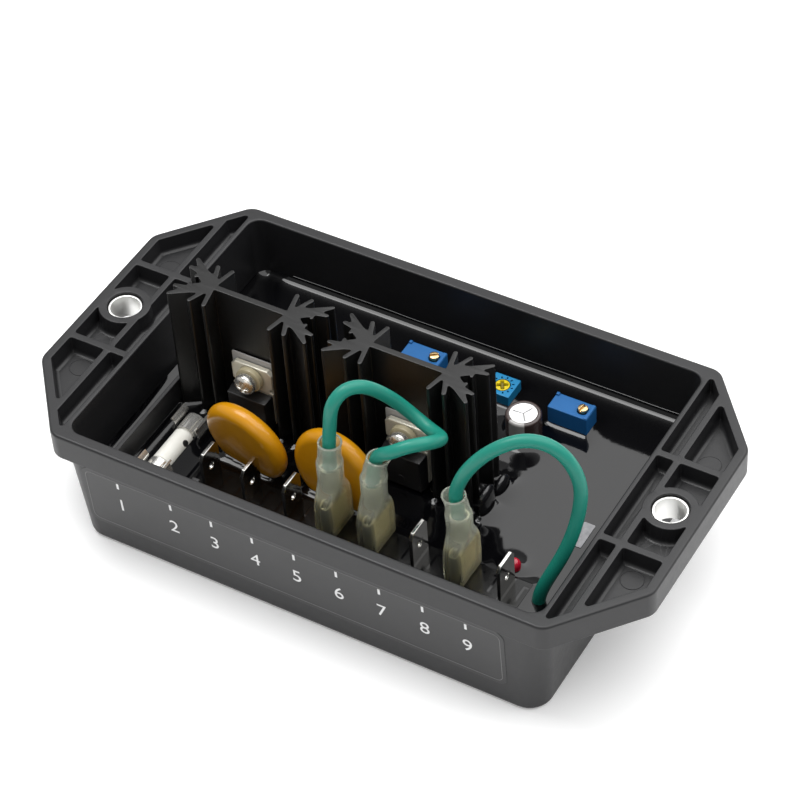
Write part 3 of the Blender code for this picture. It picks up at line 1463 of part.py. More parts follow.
def potting_resin(material):
    """The resin that fills the tray's lower half round everything in it."""
    block = drafted_block(
        "potting_resin", TRAY_FLOOR + SEAT_GAP, RESIN_TOP, TRAY_WALL + SEAT_GAP, material)
    return cut(block, *resin_pockets())


def make_materials():
    """One material for each kind of surface."""
    recipes = {
        "housing_plastic": ((0.045, 0.047, 0.05), 0.5, 0.0),
        "bush_aluminium": ((0.75, 0.76, 0.77), 0.3, 1.0),
        "board_laminate": ((0.05, 0.12, 0.06), 0.5, 0.0),
        "resin": ((0.008, 0.008, 0.009), 0.15, 0.0),
        "heat_sink_black": ((0.02, 0.02, 0.022), 0.45, 0.6),
        "pad_grey": ((0.35, 0.36, 0.38), 0.7, 0.0),
        "tinned_metal": ((0.72, 0.73, 0.74), 0.25, 1.0),
        "case_plastic": ((0.02, 0.02, 0.021), 0.5, 0.0),
        "washer_cream": ((0.82, 0.78, 0.64), 0.45, 0.0),
        "screw_steel": ((0.62, 0.63, 0.64), 0.3, 1.0),
        "ceramic": ((0.8, 0.79, 0.74), 0.5, 0.0),
        "varistor_orange": ((0.75, 0.25, 0.03), 0.2, 0.0),
        "strip_black": ((0.02, 0.02, 0.02), 0.5, 0.0),
        "boot_vinyl": ((0.45, 0.5, 0.36), 0.3, 0.0),
        "wire_green": ((0.02, 0.19, 0.14), 0.35, 0.0),
        "trimmer_blue": ((0.02, 0.09, 0.4), 0.4, 0.0),
        "brass": ((0.7, 0.52, 0.22), 0.3, 1.0),
        "rotary_blue": ((0.06, 0.34, 0.72), 0.4, 0.0),
        "rotor_yellow": ((0.75, 0.72, 0.06), 0.4, 0.0),
        "can_aluminium": ((0.75, 0.75, 0.76), 0.35, 1.0),
        "sleeve_brown": ((0.05, 0.035, 0.03), 0.35, 0.0),
        "led_red": ((0.3, 0.01, 0.01), 0.15, 0.0),
        "dip_black": ((0.01, 0.01, 0.01), 0.12, 0.0),
    }
    return {name: make_material(name, *recipe) for name, recipe in recipes.items()}


def build_tray(paints):
    """The tray with its bushes."""
    housing(paints["housing_plastic"])
    bush("bush_left", -1, paints["bush_aluminium"])
    bush("bush_right", 1, paints["bush_aluminium"])


def build_heat_sinks(paints):
    """Both heat sinks, each with its device and fixings."""
    for side, centre_x in zip(("left", "right"), HEAT_SINK_X):
        heat_sink(f"heat_sink_{side}", centre_x, paints["heat_sink_black"])
        insulating_pad(f"insulating_pad_{side}", centre_x, paints["pad_grey"])
        device_frame(f"device_tab_{side}", centre_x, paints["tinned_metal"])
        device_case(f"device_case_{side}", centre_x, paints["case_plastic"])
        shoulder_washer(f"shoulder_washer_{side}", centre_x, paints["washer_cream"])
        device_screw(f"device_screw_{side}", centre_x, paints["screw_steel"])


def build_terminals(paints):
    """The spade tabs, and what is pushed onto three of them."""
    terminal_strip(paints["strip_black"])
    for index in range(TAB_COUNT):
        spade_tab(f"spade_tab_{index + 1}", index, paints["tinned_metal"])
    for order, index in enumerate(WIRED_TABS):
        receptacle(f"receptacle_{order + 1}", index, paints["tinned_metal"])
        boot(f"boot_{order + 1}", order, paints["boot_vinyl"])
    wire("jumper_wire", wire_route(0, JUMPER_ROUTE, 1), WIRE_RADIUS, paints["wire_green"])
    wire("link_wire", wire_route(2, LINK_ROUTE), WIRE_RADIUS, paints["wire_green"])


def build_fuse(paints):
    """The fuse and its two clips."""
    fuse_tube(paints["ceramic"])
    for side, end in (("front", -1), ("rear", 1)):
        fuse_cap(f"fuse_cap_{side}", end, paints["tinned_metal"])
        fuse_clip(f"fuse_clip_{side}", end, paints["tinned_metal"])


def build_components(paints):
    """Varistors, trimmers, capacitor, LED and dipped components."""
    for index, side in enumerate(("left", "right")):
        varistor(f"varistor_{side}", index, paints["varistor_orange"])
        trimmer_body(f"trimmer_body_{side}", TRIMMER_CENTRES[index], paints["trimmer_blue"])
        trimmer_screw(f"trimmer_screw_{side}", TRIMMER_CENTRES[index], paints["brass"])
    rotary_body(paints["rotary_blue"])
    rotor(paints["rotor_yellow"])
    capacitor_can(paints["can_aluminium"])
    capacitor_sleeve(paints["sleeve_brown"])
    led(paints["led_red"])
    dipped_component("dipped_component_rear", 0, paints["dip_black"])
    dipped_component("dipped_component_front", 1, paints["dip_black"])


def main():
    """Build every piece."""
    clear_scene()
    make_collection(PARTS)
    make_collection(CUTTERS)
    paints = make_materials()
    build_tray(paints)
    circuit_board(paints["board_laminate"])
    build_heat_sinks(paints)
    build_fuse(paints)
    build_terminals(paints)
    build_components(paints)
    potting_resin(paints["resin"])


PARTS = "voltage_regulator"
CUTTERS = "cutters"

main()
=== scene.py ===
"""Render model of a potted voltage regulator: an open moulded tray with a ribbed ear at each end.

It stands on z = 0, with its spade tabs along the front, at -Y.  All sizes are in metres.
"""

import math
from collections import namedtuple

import bmesh
import bpy
import numpy as np
from mathutils import Matrix, Vector
from mathutils.geometry import tessellate_polygon


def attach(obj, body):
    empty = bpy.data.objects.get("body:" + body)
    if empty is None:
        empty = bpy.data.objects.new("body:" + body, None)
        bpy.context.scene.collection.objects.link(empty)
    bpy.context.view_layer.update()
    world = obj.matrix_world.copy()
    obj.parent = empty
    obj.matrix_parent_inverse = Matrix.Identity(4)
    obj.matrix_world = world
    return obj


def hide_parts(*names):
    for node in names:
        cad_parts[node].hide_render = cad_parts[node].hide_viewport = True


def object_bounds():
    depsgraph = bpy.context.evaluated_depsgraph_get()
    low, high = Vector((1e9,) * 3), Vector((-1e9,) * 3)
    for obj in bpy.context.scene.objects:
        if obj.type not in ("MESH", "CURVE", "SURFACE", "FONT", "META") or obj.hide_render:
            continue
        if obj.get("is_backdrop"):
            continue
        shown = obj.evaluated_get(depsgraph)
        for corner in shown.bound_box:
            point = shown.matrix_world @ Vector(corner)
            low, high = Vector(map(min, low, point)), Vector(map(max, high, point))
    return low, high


bl_info = {
    "name": "Potted voltage regulator",
    "version": (1, 0, 0),
    "blender": (4, 5, 0),
    "location": "3D View > Sidebar > Regulator",
    "description": "Builds the visible pieces of a potted voltage regulator",
    "category": "Add Mesh",
}

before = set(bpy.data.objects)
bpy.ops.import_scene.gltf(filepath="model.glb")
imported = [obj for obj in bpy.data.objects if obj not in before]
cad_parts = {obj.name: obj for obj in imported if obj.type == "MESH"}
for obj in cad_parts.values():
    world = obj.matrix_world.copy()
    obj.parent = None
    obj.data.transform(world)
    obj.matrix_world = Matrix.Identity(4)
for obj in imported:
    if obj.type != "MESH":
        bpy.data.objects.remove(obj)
CAD_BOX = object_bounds()

# Clearances
SEAT_GAP = 0.0003
RUNNING_GAP = 0.0002
MERGE = 0.000002

# Tray, flange and ears
TRAY_HEIGHT = 0.031
TRAY_HALF = (0.0567, 0.0383)
TRAY_DRAFT = (0.0656, 0.0451)
TRAY_WALL = 0.0021
TRAY_FLOOR = 0.002
TRAY_CORNER = 0.0052
FLANGE_HALF_LENGTH = 0.07417
FLANGE_HALF_WIDTH = 0.04053
FLANGE_SHOULDER_X = 0.05882
FLANGE_END_HALF_WIDTH = 0.02205
FLANGE_BOTTOM = TRAY_HEIGHT - 0.00662
FLANGE_WALL = 0.0022
FLANGE_CORNER = 0.004
POCKET_DEPTH = 0.0041
POCKET_FILLET = 0.0009
PIN_MARK_CENTRE = (0.0672, 0.0178)
POCKET_START_X = 0.0578
LONG_RIB_X = (0.0616, 0.0631)
CROSS_RIB_Y = (0.0122, 0.0139)
BUSH_X = 0.0669
BUSH_RADII = (0.0033, 0.0038)
BUSH_TOP = TRAY_HEIGHT - 0.0006
BOSS_RADIUS = 0.0059
DIVIDER_X = -0.0493
DIVIDER_END_Y = -0.0062
DIVIDER_TOP = 0.0225
DIVIDER_HALF = 0.0005
LUG = ((-0.0256, -0.0384, 0.0272), (-0.0238, -0.0362, 0.0300))

# Board levels and resin
BOARD_BOTTOM = 0.009
MOUNTED_BOTTOM = 0.0109
RESIN_TOP = 0.0154
BEAD_RADIUS = 0.00011
BEAD_ENDS = (-0.047, 0.054)

# Heat sinks and their devices
HEAT_SINK_X = (-0.0311, 0.0073)
HEAT_SINK_Y = -0.0017
HEAT_SINK_TOP = MOUNTED_BOTTOM + 0.0381
HUB_OFFSET = 0.00944
WEB_HALF = 0.0007
DEVICE_BOTTOM = 0.0157
SCREW_HEIGHT = DEVICE_BOTTOM + 0.013
TAB_HALF_WIDTH = 0.0051
PAD_HALF_WIDTH = 0.0057
PAD_HEIGHT = 0.0172
LEG_PITCH = 0.00254
LEG_HALF = 0.0004
PAD_BACK = HEAT_SINK_Y - WEB_HALF - SEAT_GAP
PAD_FRONT = PAD_BACK - 0.0003
TAB_BACK = PAD_FRONT - SEAT_GAP
TAB_FRONT = TAB_BACK - 0.0013
CASE_BACK = TAB_FRONT - SEAT_GAP
CASE_FRONT = CASE_BACK - 0.0028
WASHER_FRONT = CASE_BACK - 0.0012
SCREW_SEAT = WASHER_FRONT - SEAT_GAP

# Fuse and clips
FUSE_X = -0.0429
FUSE_Y = -0.0205
FUSE_HALF_LENGTH = 0.010
FUSE_CAP_LENGTH = 0.005
FUSE_CAP_RADIUS = 0.00265
FUSE_TUBE_RADIUS = 0.0025
FUSE_DOT = (-0.0408, -0.0184, 0.0161)
CLIP_THICKNESS = 0.0005
CLIP_LENGTH = 0.0053
CLIP_HOLD = FUSE_CAP_RADIUS + SEAT_GAP + CLIP_THICKNESS / 2
FUSE_Z = MOUNTED_BOTTOM + CLIP_THICKNESS / 2 + CLIP_HOLD + 0.00045

# Varistors
VARISTOR_RADIUS = 0.0105
VARISTOR_HALF = 0.0024
VARISTOR_CENTRES = ((-0.0252, -0.0168, 0.0229), (-0.00355, -0.0158, 0.0231))
VARISTOR_LEANS = (8.6, -2.5)
VARISTOR_TURNS = (-8.6, -5.6)
VARISTOR_LEAD_PITCH = 0.0075
VARISTOR_LEAD = (BOARD_BOTTOM, 0.0165)

# Terminals
TAB_COUNT = 8
TAB_PITCH = 0.01016
FIRST_TAB_X = -0.0301
FIRST_TAB_Y = -0.0244
TAB_ROW_SLOPE = 0.0185
SPADE_WIDTH = 0.0063
SPADE_THICKNESS = 0.0008
SPADE_TOP = 0.0253
STRIP_TOP = 0.016
STRIP_HALF_WIDTH = 0.00375
STRIP_END = 0.00448
SEAT_DEPTH = 0.0012
GROOVE_DEPTH = 0.0030
GROOVE_OFFSET = 0.0028
WIRED_TABS = (3, 4, 6)
BOOT_NECK_TOPS = (0.0416, 0.0424, 0.0391)
BOOT_LEANS = (0.0007, 0.0021, -0.0012)
BOOT_SHIFT = 0.0001
BOOT_SHOULDER = 0.028
BOOT_NECK_RADIUS = 0.00275
BOOT_HALF_WIDTH = 0.0045
BOOT_WALL = 0.00045

# Wires: along X from the wire's own tab, height, and back from that tab; the link's foot is where
# that wire goes into the resin, in the frame's X and Y
WIRE_RADIUS = 0.00145
WIRE_START = 0.0295
JUMPER_ROUTE = (
    (0.0002, 0.0340, 0.0000), (0.0008, 0.0431, 0.0000), (0.0013, 0.0478, 0.0001),
    (0.0022, 0.0529, 0.0011), (0.0034, 0.0545, 0.0033), (0.0052, 0.0542, 0.0058),
    (0.0075, 0.0510, 0.0091), (0.0103, 0.0460, 0.0122), (0.0137, 0.0424, 0.0133),
    (0.0181, 0.0416, 0.0122), (0.0215, 0.0433, 0.0098), (0.0222, 0.0458, 0.0063),
    (0.0208, 0.0475, 0.0029), (0.0186, 0.0475, 0.0008), (0.0161, 0.0462, -0.0005),
    (0.0122, 0.0424, 0.0001), (0.0108, 0.0372, 0.0002), (0.0103, 0.0340, 0.0002),
)
LINK_ROUTE = (
    (-0.0004, 0.0350, 0.0000), (-0.0006, 0.0395, 0.0000), (0.0001, 0.0425, 0.0001),
    (0.0014, 0.0458, 0.0004), (0.0040, 0.0501, 0.0014), (0.0081, 0.0541, 0.0034),
    (0.0129, 0.0555, 0.0063), (0.0172, 0.0541, 0.0081), (0.0210, 0.0498, 0.0091),
    (0.0230, 0.0443, 0.0090), (0.0232, 0.0394, 0.0082), (0.0226, 0.0337, 0.0066),
    (0.0211, 0.0276, 0.0043), (0.0189, 0.0217, 0.0021), (0.0173, 0.0158, 0.0010),
    (0.0173, 0.0110, 0.0010),
)
LINK_FOOT = (0.04816, -0.0223)

# Trimmers and small components
TRIMMER_CENTRES = ((-0.0058, 0.0253), (0.0308, 0.0257))
TRIMMER_HALF = (0.004765, 0.002415)
TRIMMER_TOP = 0.0206
TRIMMER_SCREW_OFFSET = 0.0027
TRIMMER_SCREW_RADIUS = 0.0011
TRIMMER_SCREW_RISE = 0.0008
ROTARY_CENTRE = (0.0132, 0.0265)
ROTARY_HALF = (0.0031, 0.003)
ROTARY_TOP = 0.0185
ROTARY_CUT_CORNER = 0.0014
ROTOR_RADIUS = 0.00165
CAPACITOR_CENTRE = (0.0232, 0.0178)
CAPACITOR_RADIUS = 0.004
CAPACITOR_TOP = 0.0223
CAN_RADIUS = CAPACITOR_RADIUS - 0.00045
CAN_TOP = CAPACITOR_TOP - 0.00012
CAN_SHOULDER = 0.0006
CAN_GROOVE = MOUNTED_BOTTOM + 0.0012
VENT_TURNS = (65.0, 185.0, 305.0)
VENT_REACH = 0.0024
STRIPE_TURNS = (-2.04, -1.00)  # in radians, from +X
LED_CENTRE = (0.0396, -0.0171)
LED_RADIUS = 0.0015
LED_TOP = 0.0183
DIPPED_CENTRES = ((0.0268, 0.0012), (0.0268, -0.0054))
DIPPED_TOPS = (0.0194, 0.0225)
DIPPED_HALF_WIDTH = 0.0029
DIPPED_HALF_THICKNESS = 0.0012
STICKER = ((0.0465, -0.0058), (0.0492, 0.0012))

# Label on the front wall: along X, and height
LABEL_LOW = (-0.0523, 0.0070)
LABEL_HIGH = (0.0485, 0.0222)
LABEL_MARKS = (-0.0439, -0.0305, -0.0203, -0.0102, 0.0, 0.0102, 0.0204, 0.0306, 0.0406)
PRINT_LEVELS = (0.00006, 0.00011)

# Size of the font over the height of its numbers
FONT_SIZE = 1.4

# Camera, as it stood for the photograph
CAMERA_PLACE = (0.237171, -0.358769, 0.463655)
CAMERA_AZIMUTH = math.radians(33.07355)
CAMERA_ELEVATION = math.radians(45.15268)
CAMERA_ROLL = math.radians(-4.38885)
CAMERA_LENS = 129.478

# Planes for flat outlines: outline x, outline y and thickness go to these axes
FACING_X = Matrix(((0, 0, 1, 0), (1, 0, 0, 0), (0, 1, 0, 0), (0, 0, 0, 1)))
FACING_FRONT = Matrix(((1, 0, 0, 0), (0, 0, -1, 0), (0, 1, 0, 0), (0, 0, 0, 1)))

Branch = namedtuple("Branch", "tip root_half tip_half forks")


# Places

def spade_place(index):
    """Where a spade tab stands: the row runs a little off the tray's long side."""
    along = index * TAB_PITCH
    return np.array([FIRST_TAB_X + along, FIRST_TAB_Y + along * TAB_ROW_SLOPE])


def strip_corners(grow):
    """The terminal strip's four corners: the row with its ends and its half width, grown all round."""
    run = np.array([1.0, TAB_ROW_SLOPE]) * (STRIP_END + grow)
    half = np.array([0.0, STRIP_HALF_WIDTH + grow])
    left, right = spade_place(0) - run, spade_place(TAB_COUNT - 1) + run
    return np.array([left - half, right - half, right + half, left + half])


# Flat outlines

def circle(centre, radius, sides, start=0.0):
    """A circle in even steps, anticlockwise."""
    angle = start + np.arange(sides) * 2 * np.pi / sides
    return np.column_stack([centre[0] + radius * np.cos(angle), centre[1] + radius * np.sin(angle)])


def rectangle(low, high):
    """The four corners between two opposite ones, anticlockwise."""
    return np.array([low, (high[0], low[1]), high, (low[0], high[1])], float)


def centred(centre, half):
    """A rectangle round its centre."""
    centre = np.array(centre)
    return rectangle(centre - half, centre + half)


def anticlockwise(outline):
    """The same outline, turned about where the area that it sweeps is negative."""
    across, along = outline.T
    area = np.sum(across * np.roll(along, -1) - along * np.roll(across, -1))
    return outline if area > 0 else outline[::-1]


def rounded(corners, radius, steps=5):
    """A circle that touches both sides at each corner, walked in even steps from side to side."""
    corner = np.asarray(corners, float)
    back = np.roll(corner, 1, axis=0) - corner
    ahead = np.roll(corner, -1, axis=0) - corner
    back_length = np.linalg.norm(back, axis=1)
    ahead_length = np.linalg.norm(ahead, axis=1)
    back = back / back_length[:, None]
    ahead = ahead / ahead_length[:, None]
    half_angle = np.arccos(np.clip((back * ahead).sum(axis=1), -1.0, 1.0)) / 2
    half_angle = np.minimum(half_angle, np.pi / 2 - 0.0005)
    reach = np.minimum(radius / np.tan(half_angle), 0.45 * np.minimum(back_length, ahead_length))
    inward = back + ahead
    inward /= np.maximum(np.linalg.norm(inward, axis=1), 1e-9)[:, None]
    centre = corner + inward * (reach / np.cos(half_angle))[:, None]
    spoke = corner + back * reach[:, None] - centre
    turn = np.where(back[:, 0] * ahead[:, 1] - back[:, 1] * ahead[:, 0] > 0, -1.0, 1.0)
    angle = (turn * (np.pi - 2 * half_angle))[:, None] * np.linspace(0.0, 1.0, steps + 1)
    across = centre[:, :1] + spoke[:, :1] * np.cos(angle) - spoke[:, 1:] * np.sin(angle)
    along = centre[:, 1:] + spoke[:, :1] * np.sin(angle) + spoke[:, 1:] * np.cos(angle)
    return np.stack([across, along], axis=-1).reshape(-1, 2)


def outset(outline, distance):
    """Each point moved along the sum of its two sides' outward normals, over one plus their product."""
    ahead = np.roll(outline, -1, axis=0) - outline
    ahead = ahead / np.maximum(np.linalg.norm(ahead, axis=1), 1e-12)[:, None]
    after = np.column_stack([ahead[:, 1], -ahead[:, 0]])
    before = np.roll(after, 1, axis=0)
    share = np.maximum(1.0 + (after * before).sum(axis=1), 0.4)
    return outline + (after + before) * (distance / share)[:, None]


def strip(path, thickness):
    """A bent strip's outline: its middle line moved by half the thickness to both sides."""
    path = np.asarray(path, float)
    run = np.gradient(path, axis=0)
    run /= np.linalg.norm(run, axis=1)[:, None]
    side = np.column_stack([run[:, 1], -run[:, 0]]) * thickness / 2
    return np.concatenate([path + side, (path - side)[::-1]])


def smooth_path(points, spacing):
    """Even points on the natural cubic spline through a route.

    The spline's bends solve its linear system; each stretch is blended from its two ends
    and from their bends, and the finished line is walked in equal lengths.
    """
    route = np.asarray(points, float)
    chord = np.linalg.norm(np.diff(route, axis=0), axis=1)
    knots = np.concatenate(([0.0], np.cumsum(chord)))
    inner = np.arange(1, len(route) - 1)
    system = np.eye(len(route))
    system[inner, inner - 1] = chord[:-1]
    system[inner, inner] = 2 * (chord[:-1] + chord[1:])
    system[inner, inner + 1] = chord[1:]
    pull = np.zeros_like(route)
    pull[1:-1] = 6 * np.diff(np.diff(route, axis=0) / chord[:, None], axis=0)
    bend = np.linalg.solve(system, pull)
    place = np.linspace(0.0, knots[-1], 3000)
    index = np.clip(np.searchsorted(knots, place) - 1, 0, len(chord) - 1)
    ahead = ((place - knots[index]) / chord[index])[:, None]
    behind = 1.0 - ahead
    curved = (behind ** 3 - behind) * bend[index] + (ahead ** 3 - ahead) * bend[index + 1]
    line = behind * route[index] + ahead * route[index + 1] + curved * chord[index][:, None] ** 2 / 6
    walked = np.concatenate(([0.0], np.cumsum(np.linalg.norm(np.diff(line, axis=0), axis=1))))
    even = np.linspace(0.0, walked[-1], max(int(round(walked[-1] / spacing)), 4) + 1)
    return np.column_stack([np.interp(even, walked, line[:, axis]) for axis in range(line.shape[1])])


def quarter_round(radius, steps):
    """Even steps round a quarter circle: its radius times one less the sine and one less the cosine."""
    angle = np.linspace(0.0, np.pi / 2, steps + 1)
    return [(radius * (1.0 - math.sin(a)), radius * (1.0 - math.cos(a))) for a in angle]


def soft_step(value):
    """From 0 to 1 with level ends: three squares less two cubes."""
    value = np.clip(value, 0.0, 1.0)
    return value * value * (3.0 - 2.0 * value)


def at_height(outline, height):
    """A flat outline set level at a height."""
    return np.column_stack([outline, np.full(len(outline), height)])


# Surfaces

class Skin:
    """Points and faces gathered from several surfaces that make one piece."""

    def __init__(self):
        self.points = np.zeros((0, 3))
        self.faces = []

    def grid(self, points, closed=True, round_trip=False):
        """Quads between neighbours of a grid; closed joins its last column to the first, and
        round_trip its last row to the first."""
        rows, columns = points.shape[:2]
        row = np.arange(rows if round_trip else rows - 1)[:, None]
        column = np.arange(columns if closed else columns - 1)[None, :]
        next_row = (row + 1) % rows * columns
        next_column = (column + 1) % columns
        here = row * columns
        quads = np.stack(np.broadcast_arrays(
            here + column, here + next_column, next_row + next_column, next_row + column), axis=-1)
        self.faces += (quads.reshape(-1, 4) + len(self.points)).tolist()
        self.points = np.concatenate([self.points, points.reshape(-1, 3)])
        return self

    def fill(self, *loops):
        """A flat face inside the first loop, less the other loops, cut into triangles."""
        triangles = tessellate_polygon([[Vector(point) for point in loop] for loop in loops])
        start = len(self.points)
        self.faces += [[start + corner for corner in triangle] for triangle in triangles]
        self.points = np.concatenate([self.points, *loops])
        return self

    def swept(self, outline, rows, holes=()):
        """A profile carried round a closed outline and filled at both ends.

        Each row of (outset, height) is the outline moved outwards by the outset and set at
        the height; round a hole the same rows move inwards.
        """
        loops = [(anticlockwise(outline), 1.0)] + [(anticlockwise(hole), -1.0) for hole in holes]
        walls = []
        for loop, side in loops:
            rings = [at_height(outset(loop, side * distance), height) for distance, height in rows]
            walls.append(np.stack(rings))
            self.grid(walls[-1])
        self.fill(*[wall[0] for wall in walls])
        self.fill(*[wall[-1] for wall in walls])
        return self

    def plate(self, outline, low, high, edge=0.0, holes=(), steps=3):
        """An outline raised from low to high, with a quarter round along its edges."""
        return self.swept(outline, edged(low, high, edge, steps), holes)

    def lathe(self, profile, sides):
        """(radius, height) points turned about Z: each becomes a circle of its radius."""
        profile = np.asarray(profile, float)
        angle = np.arange(sides) * 2 * np.pi / sides
        radius = profile[:, :1]
        points = np.stack(np.broadcast_arrays(
            radius * np.cos(angle), radius * np.sin(angle), profile[:, 1:]), axis=-1)
        closed = np.all(profile[[0, -1], 0] > MERGE)
        return self.grid(points, round_trip=closed)

    def dial(self, radius, top, side, recess, rows=30, sides=72):
        """A turned head: its height is top(r) less recess(x, y) on rings from the middle out,
        and (radius, height) points of its side follow."""
        ring = np.linspace(0.0, radius, rows)[:, None]
        angle = np.arange(sides) * 2 * np.pi / sides
        across = ring * np.cos(angle)
        along = ring * np.sin(angle)
        head = np.stack([across, along, top(ring) - recess(across, along)], axis=-1)
        side = np.asarray(side, float)
        edge = np.stack(np.broadcast_arrays(
            side[:, :1] * np.cos(angle), side[:, :1] * np.sin(angle), side[:, 1:]), axis=-1)
        return self.grid(np.concatenate([head, edge]))

    def block(self, low, high, edge=0.0):
        """A box between two corners with all its edges rounded."""
        radius = max(edge, MERGE)
        outline = rounded(rectangle(low[:2], high[:2]), radius, 3)
        return self.plate(outline, low[2], high[2], edge)

    def moved(self, matrix):
        """The whole skin turned and set in its place."""
        self.points = self.points @ np.array(matrix.to_3x3()).T + np.array(matrix.translation)
        return self

    def add(self, other):
        """Another skin's points and faces, kept as a shell of their own."""
        start = len(self.points)
        self.faces += [[start + corner for corner in face] for face in other.faces]
        self.points = np.concatenate([self.points, other.points])
        return self


def edged(low, high, edge, steps=3):
    """Rows of (outset, height) up a wall whose two edges are quarter rounds."""
    if edge <= 0.0:
        return [(0.0, low), (0.0, high)]
    rows = quarter_round(edge, steps)
    lower = [(-aside, low + rise) for aside, rise in rows]
    return lower + [(-aside, high - rise) for aside, rise in rows[::-1]]


def finish_piece(name, skin, material, stands_for=(), body="root", angle=38.0, flatten=True):
    """Make the object: merge doubled points, turn faces outwards, and keep edges sharper than
    the angle; it rides on a body and stands for its CAD nodes."""
    mesh = bpy.data.meshes.new(name)
    mesh.from_pydata(skin.points.tolist(), [], skin.faces)
    bm = bmesh.new()
    bm.from_mesh(mesh)
    bmesh.ops.remove_doubles(bm, verts=bm.verts, dist=MERGE)
    bmesh.ops.dissolve_degenerate(bm, dist=MERGE / 4, edges=bm.edges)
    bmesh.ops.recalc_face_normals(bm, faces=bm.faces)
    bm.to_mesh(mesh)
    bm.free()
    mesh.shade_smooth()
    mesh.set_sharp_from_angle(angle=math.radians(angle))
    mesh.materials.append(material)
    item = bpy.data.objects.new(name, mesh)
    bpy.context.scene.collection.objects.link(item)
    if flatten:
        item.modifiers.new("flat faces", "WEIGHTED_NORMAL").keep_sharp = True
    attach(item, body)
    if stands_for:
        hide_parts(*stands_for)
    return item


# Materials

class Value:
    """A number in a material's nodes; arithmetic on it adds Math nodes."""

    def __init__(self, finish, socket):
        self.finish = finish
        self.socket = socket

    def math(self, operation, first, second):
        return self.finish.node("ShaderNodeMath", {"operation": operation}, {0: first, 1: second})

    def __add__(self, other):
        return self.math("ADD", self, other)

    def __sub__(self, other):
        return self.math("SUBTRACT", self, other)

    def __rsub__(self, other):
        return self.math("SUBTRACT", other, self)

    def __mul__(self, other):
        return self.math("MULTIPLY", self, other)

    __radd__ = __add__
    __rmul__ = __mul__


class Finish:
    """A material with one Principled shader; its constants are set on the shader's sockets."""

    def __init__(self, name, color, roughness, metallic=0.0, **constants):
        self.material = bpy.data.materials.new(name)
        self.material.use_nodes = True
        self.tree = self.material.node_tree
        self.shader = self.tree.nodes["Principled BSDF"]
        self.paint("Base Color", (*color, 1.0))
        self.paint("Roughness", roughness)
        self.paint("Metallic", metallic)
        for socket, value in constants.items():
            self.paint(socket.replace("_", " ").title().replace("Ior", "IOR"), value)
        self.material.diffuse_color = (*color, 1.0)

    def paint(self, socket, value):
        """Set or link one of the shader's sockets."""
        if isinstance(value, Value):
            self.tree.links.new(value.socket, self.shader.inputs[socket])
        else:
            self.shader.inputs[socket].default_value = value
        return self

    def node(self, kind, settings, inputs, output=0):
        """Add a node: its settings first, then the values or links of its sockets."""
        node = self.tree.nodes.new(kind)
        for name, value in settings.items():
            setattr(node, name, value)
        for key, value in inputs.items():
            if isinstance(value, Value):
                self.tree.links.new(value.socket, node.inputs[key])
            else:
                node.inputs[key].default_value = value
        return Value(self, node.outputs[output])

    def place(self, stretch=(1.0, 1.0, 1.0)):
        """Object coordinates, stretched about the origin."""
        point = self.node("ShaderNodeTexCoord", {}, {}, "Object")
        return self.node("ShaderNodeMapping", {}, {"Vector": point, "Scale": stretch})

    def along(self, direction):
        """How far a point lies from the origin along a direction."""
        inputs = {0: self.place(), 1: direction}
        return self.node("ShaderNodeVectorMath", {"operation": "DOT_PRODUCT"}, inputs, "Value")

    def noise(self, size, detail=2.0, stretch=(1.0, 1.0, 1.0)):
        """Cloudy noise with features of a size in metres."""
        inputs = {"Vector": self.place(stretch), "Scale": 1.0 / size, "Detail": detail}
        return self.node("ShaderNodeTexNoise", {}, inputs, "Fac")

    def mix(self, factor, first, second):
        """Blend two colours by a factor; a Mix node's sockets 6 and 7 are its colours."""
        inputs = {0: factor, 6: self.opaque(first), 7: self.opaque(second)}
        return self.node("ShaderNodeMix", {"data_type": "RGBA"}, inputs, 2)

    def opaque(self, color):
        """A colour with full alpha, or a link as it is."""
        return color if isinstance(color, Value) else (*color, 1.0)

    def step(self, value, low, high):
        """From 0 to 1 between two values, with level ends."""
        return self.node(
            "ShaderNodeMapRange", {"interpolation_type": "SMOOTHSTEP"},
            {"Value": value, "From Min": low, "From Max": high})

    def rough(self, middle, spread, size, stretch=(1.0, 1.0, 1.0)):
        """Roughness that wanders round a middle value."""
        return self.paint("Roughness", middle + spread * (self.noise(size, 3.0, stretch) - 0.5))

    def cloud(self, first, second, size, stretch=(1.0, 1.0, 1.0)):
        """Colour that wanders between two."""
        return self.paint("Base Color", self.mix(self.noise(size, 3.0, stretch), first, second))

    def relief(self, height, strength, distance):
        """Bump from a height value, of at most a distance in metres."""
        bump = self.node(
            "ShaderNodeBump", {}, {"Height": height, "Strength": strength, "Distance": distance})
        return self.paint("Normal", bump)


def shade(color, factor):
    """A colour made lighter or darker."""
    return tuple(min(channel * factor, 1.0) for channel in color)


def moulded(name, color, roughness=0.45, grain=0.00012, sheen=0.5):
    """Moulded plastic: faint clouding, uneven gloss and a fine eroded grain."""
    finish = Finish(name, color, roughness, specular_ior_level=sheen)
    finish.cloud(shade(color, 0.85), shade(color, 1.15), 0.006)
    finish.rough(roughness, 0.12, 0.0015)
    return finish.relief(finish.noise(grain) * 0.6 + finish.noise(grain * 5) * 0.4, 0.3, grain / 5).material


def metal(name, color, roughness, wave=0.0012, depth=0.00002, metallic=1.0):
    """Plated or bare metal, dulled where it is less than wholly metallic, over a slightly wavy skin."""
    finish = Finish(name, color, roughness, metallic)
    finish.cloud(shade(color, 0.88), shade(color, 1.08), 0.002)
    finish.rough(roughness, 0.16, wave / 2)
    return finish.relief(finish.noise(wave), 0.5, depth).material


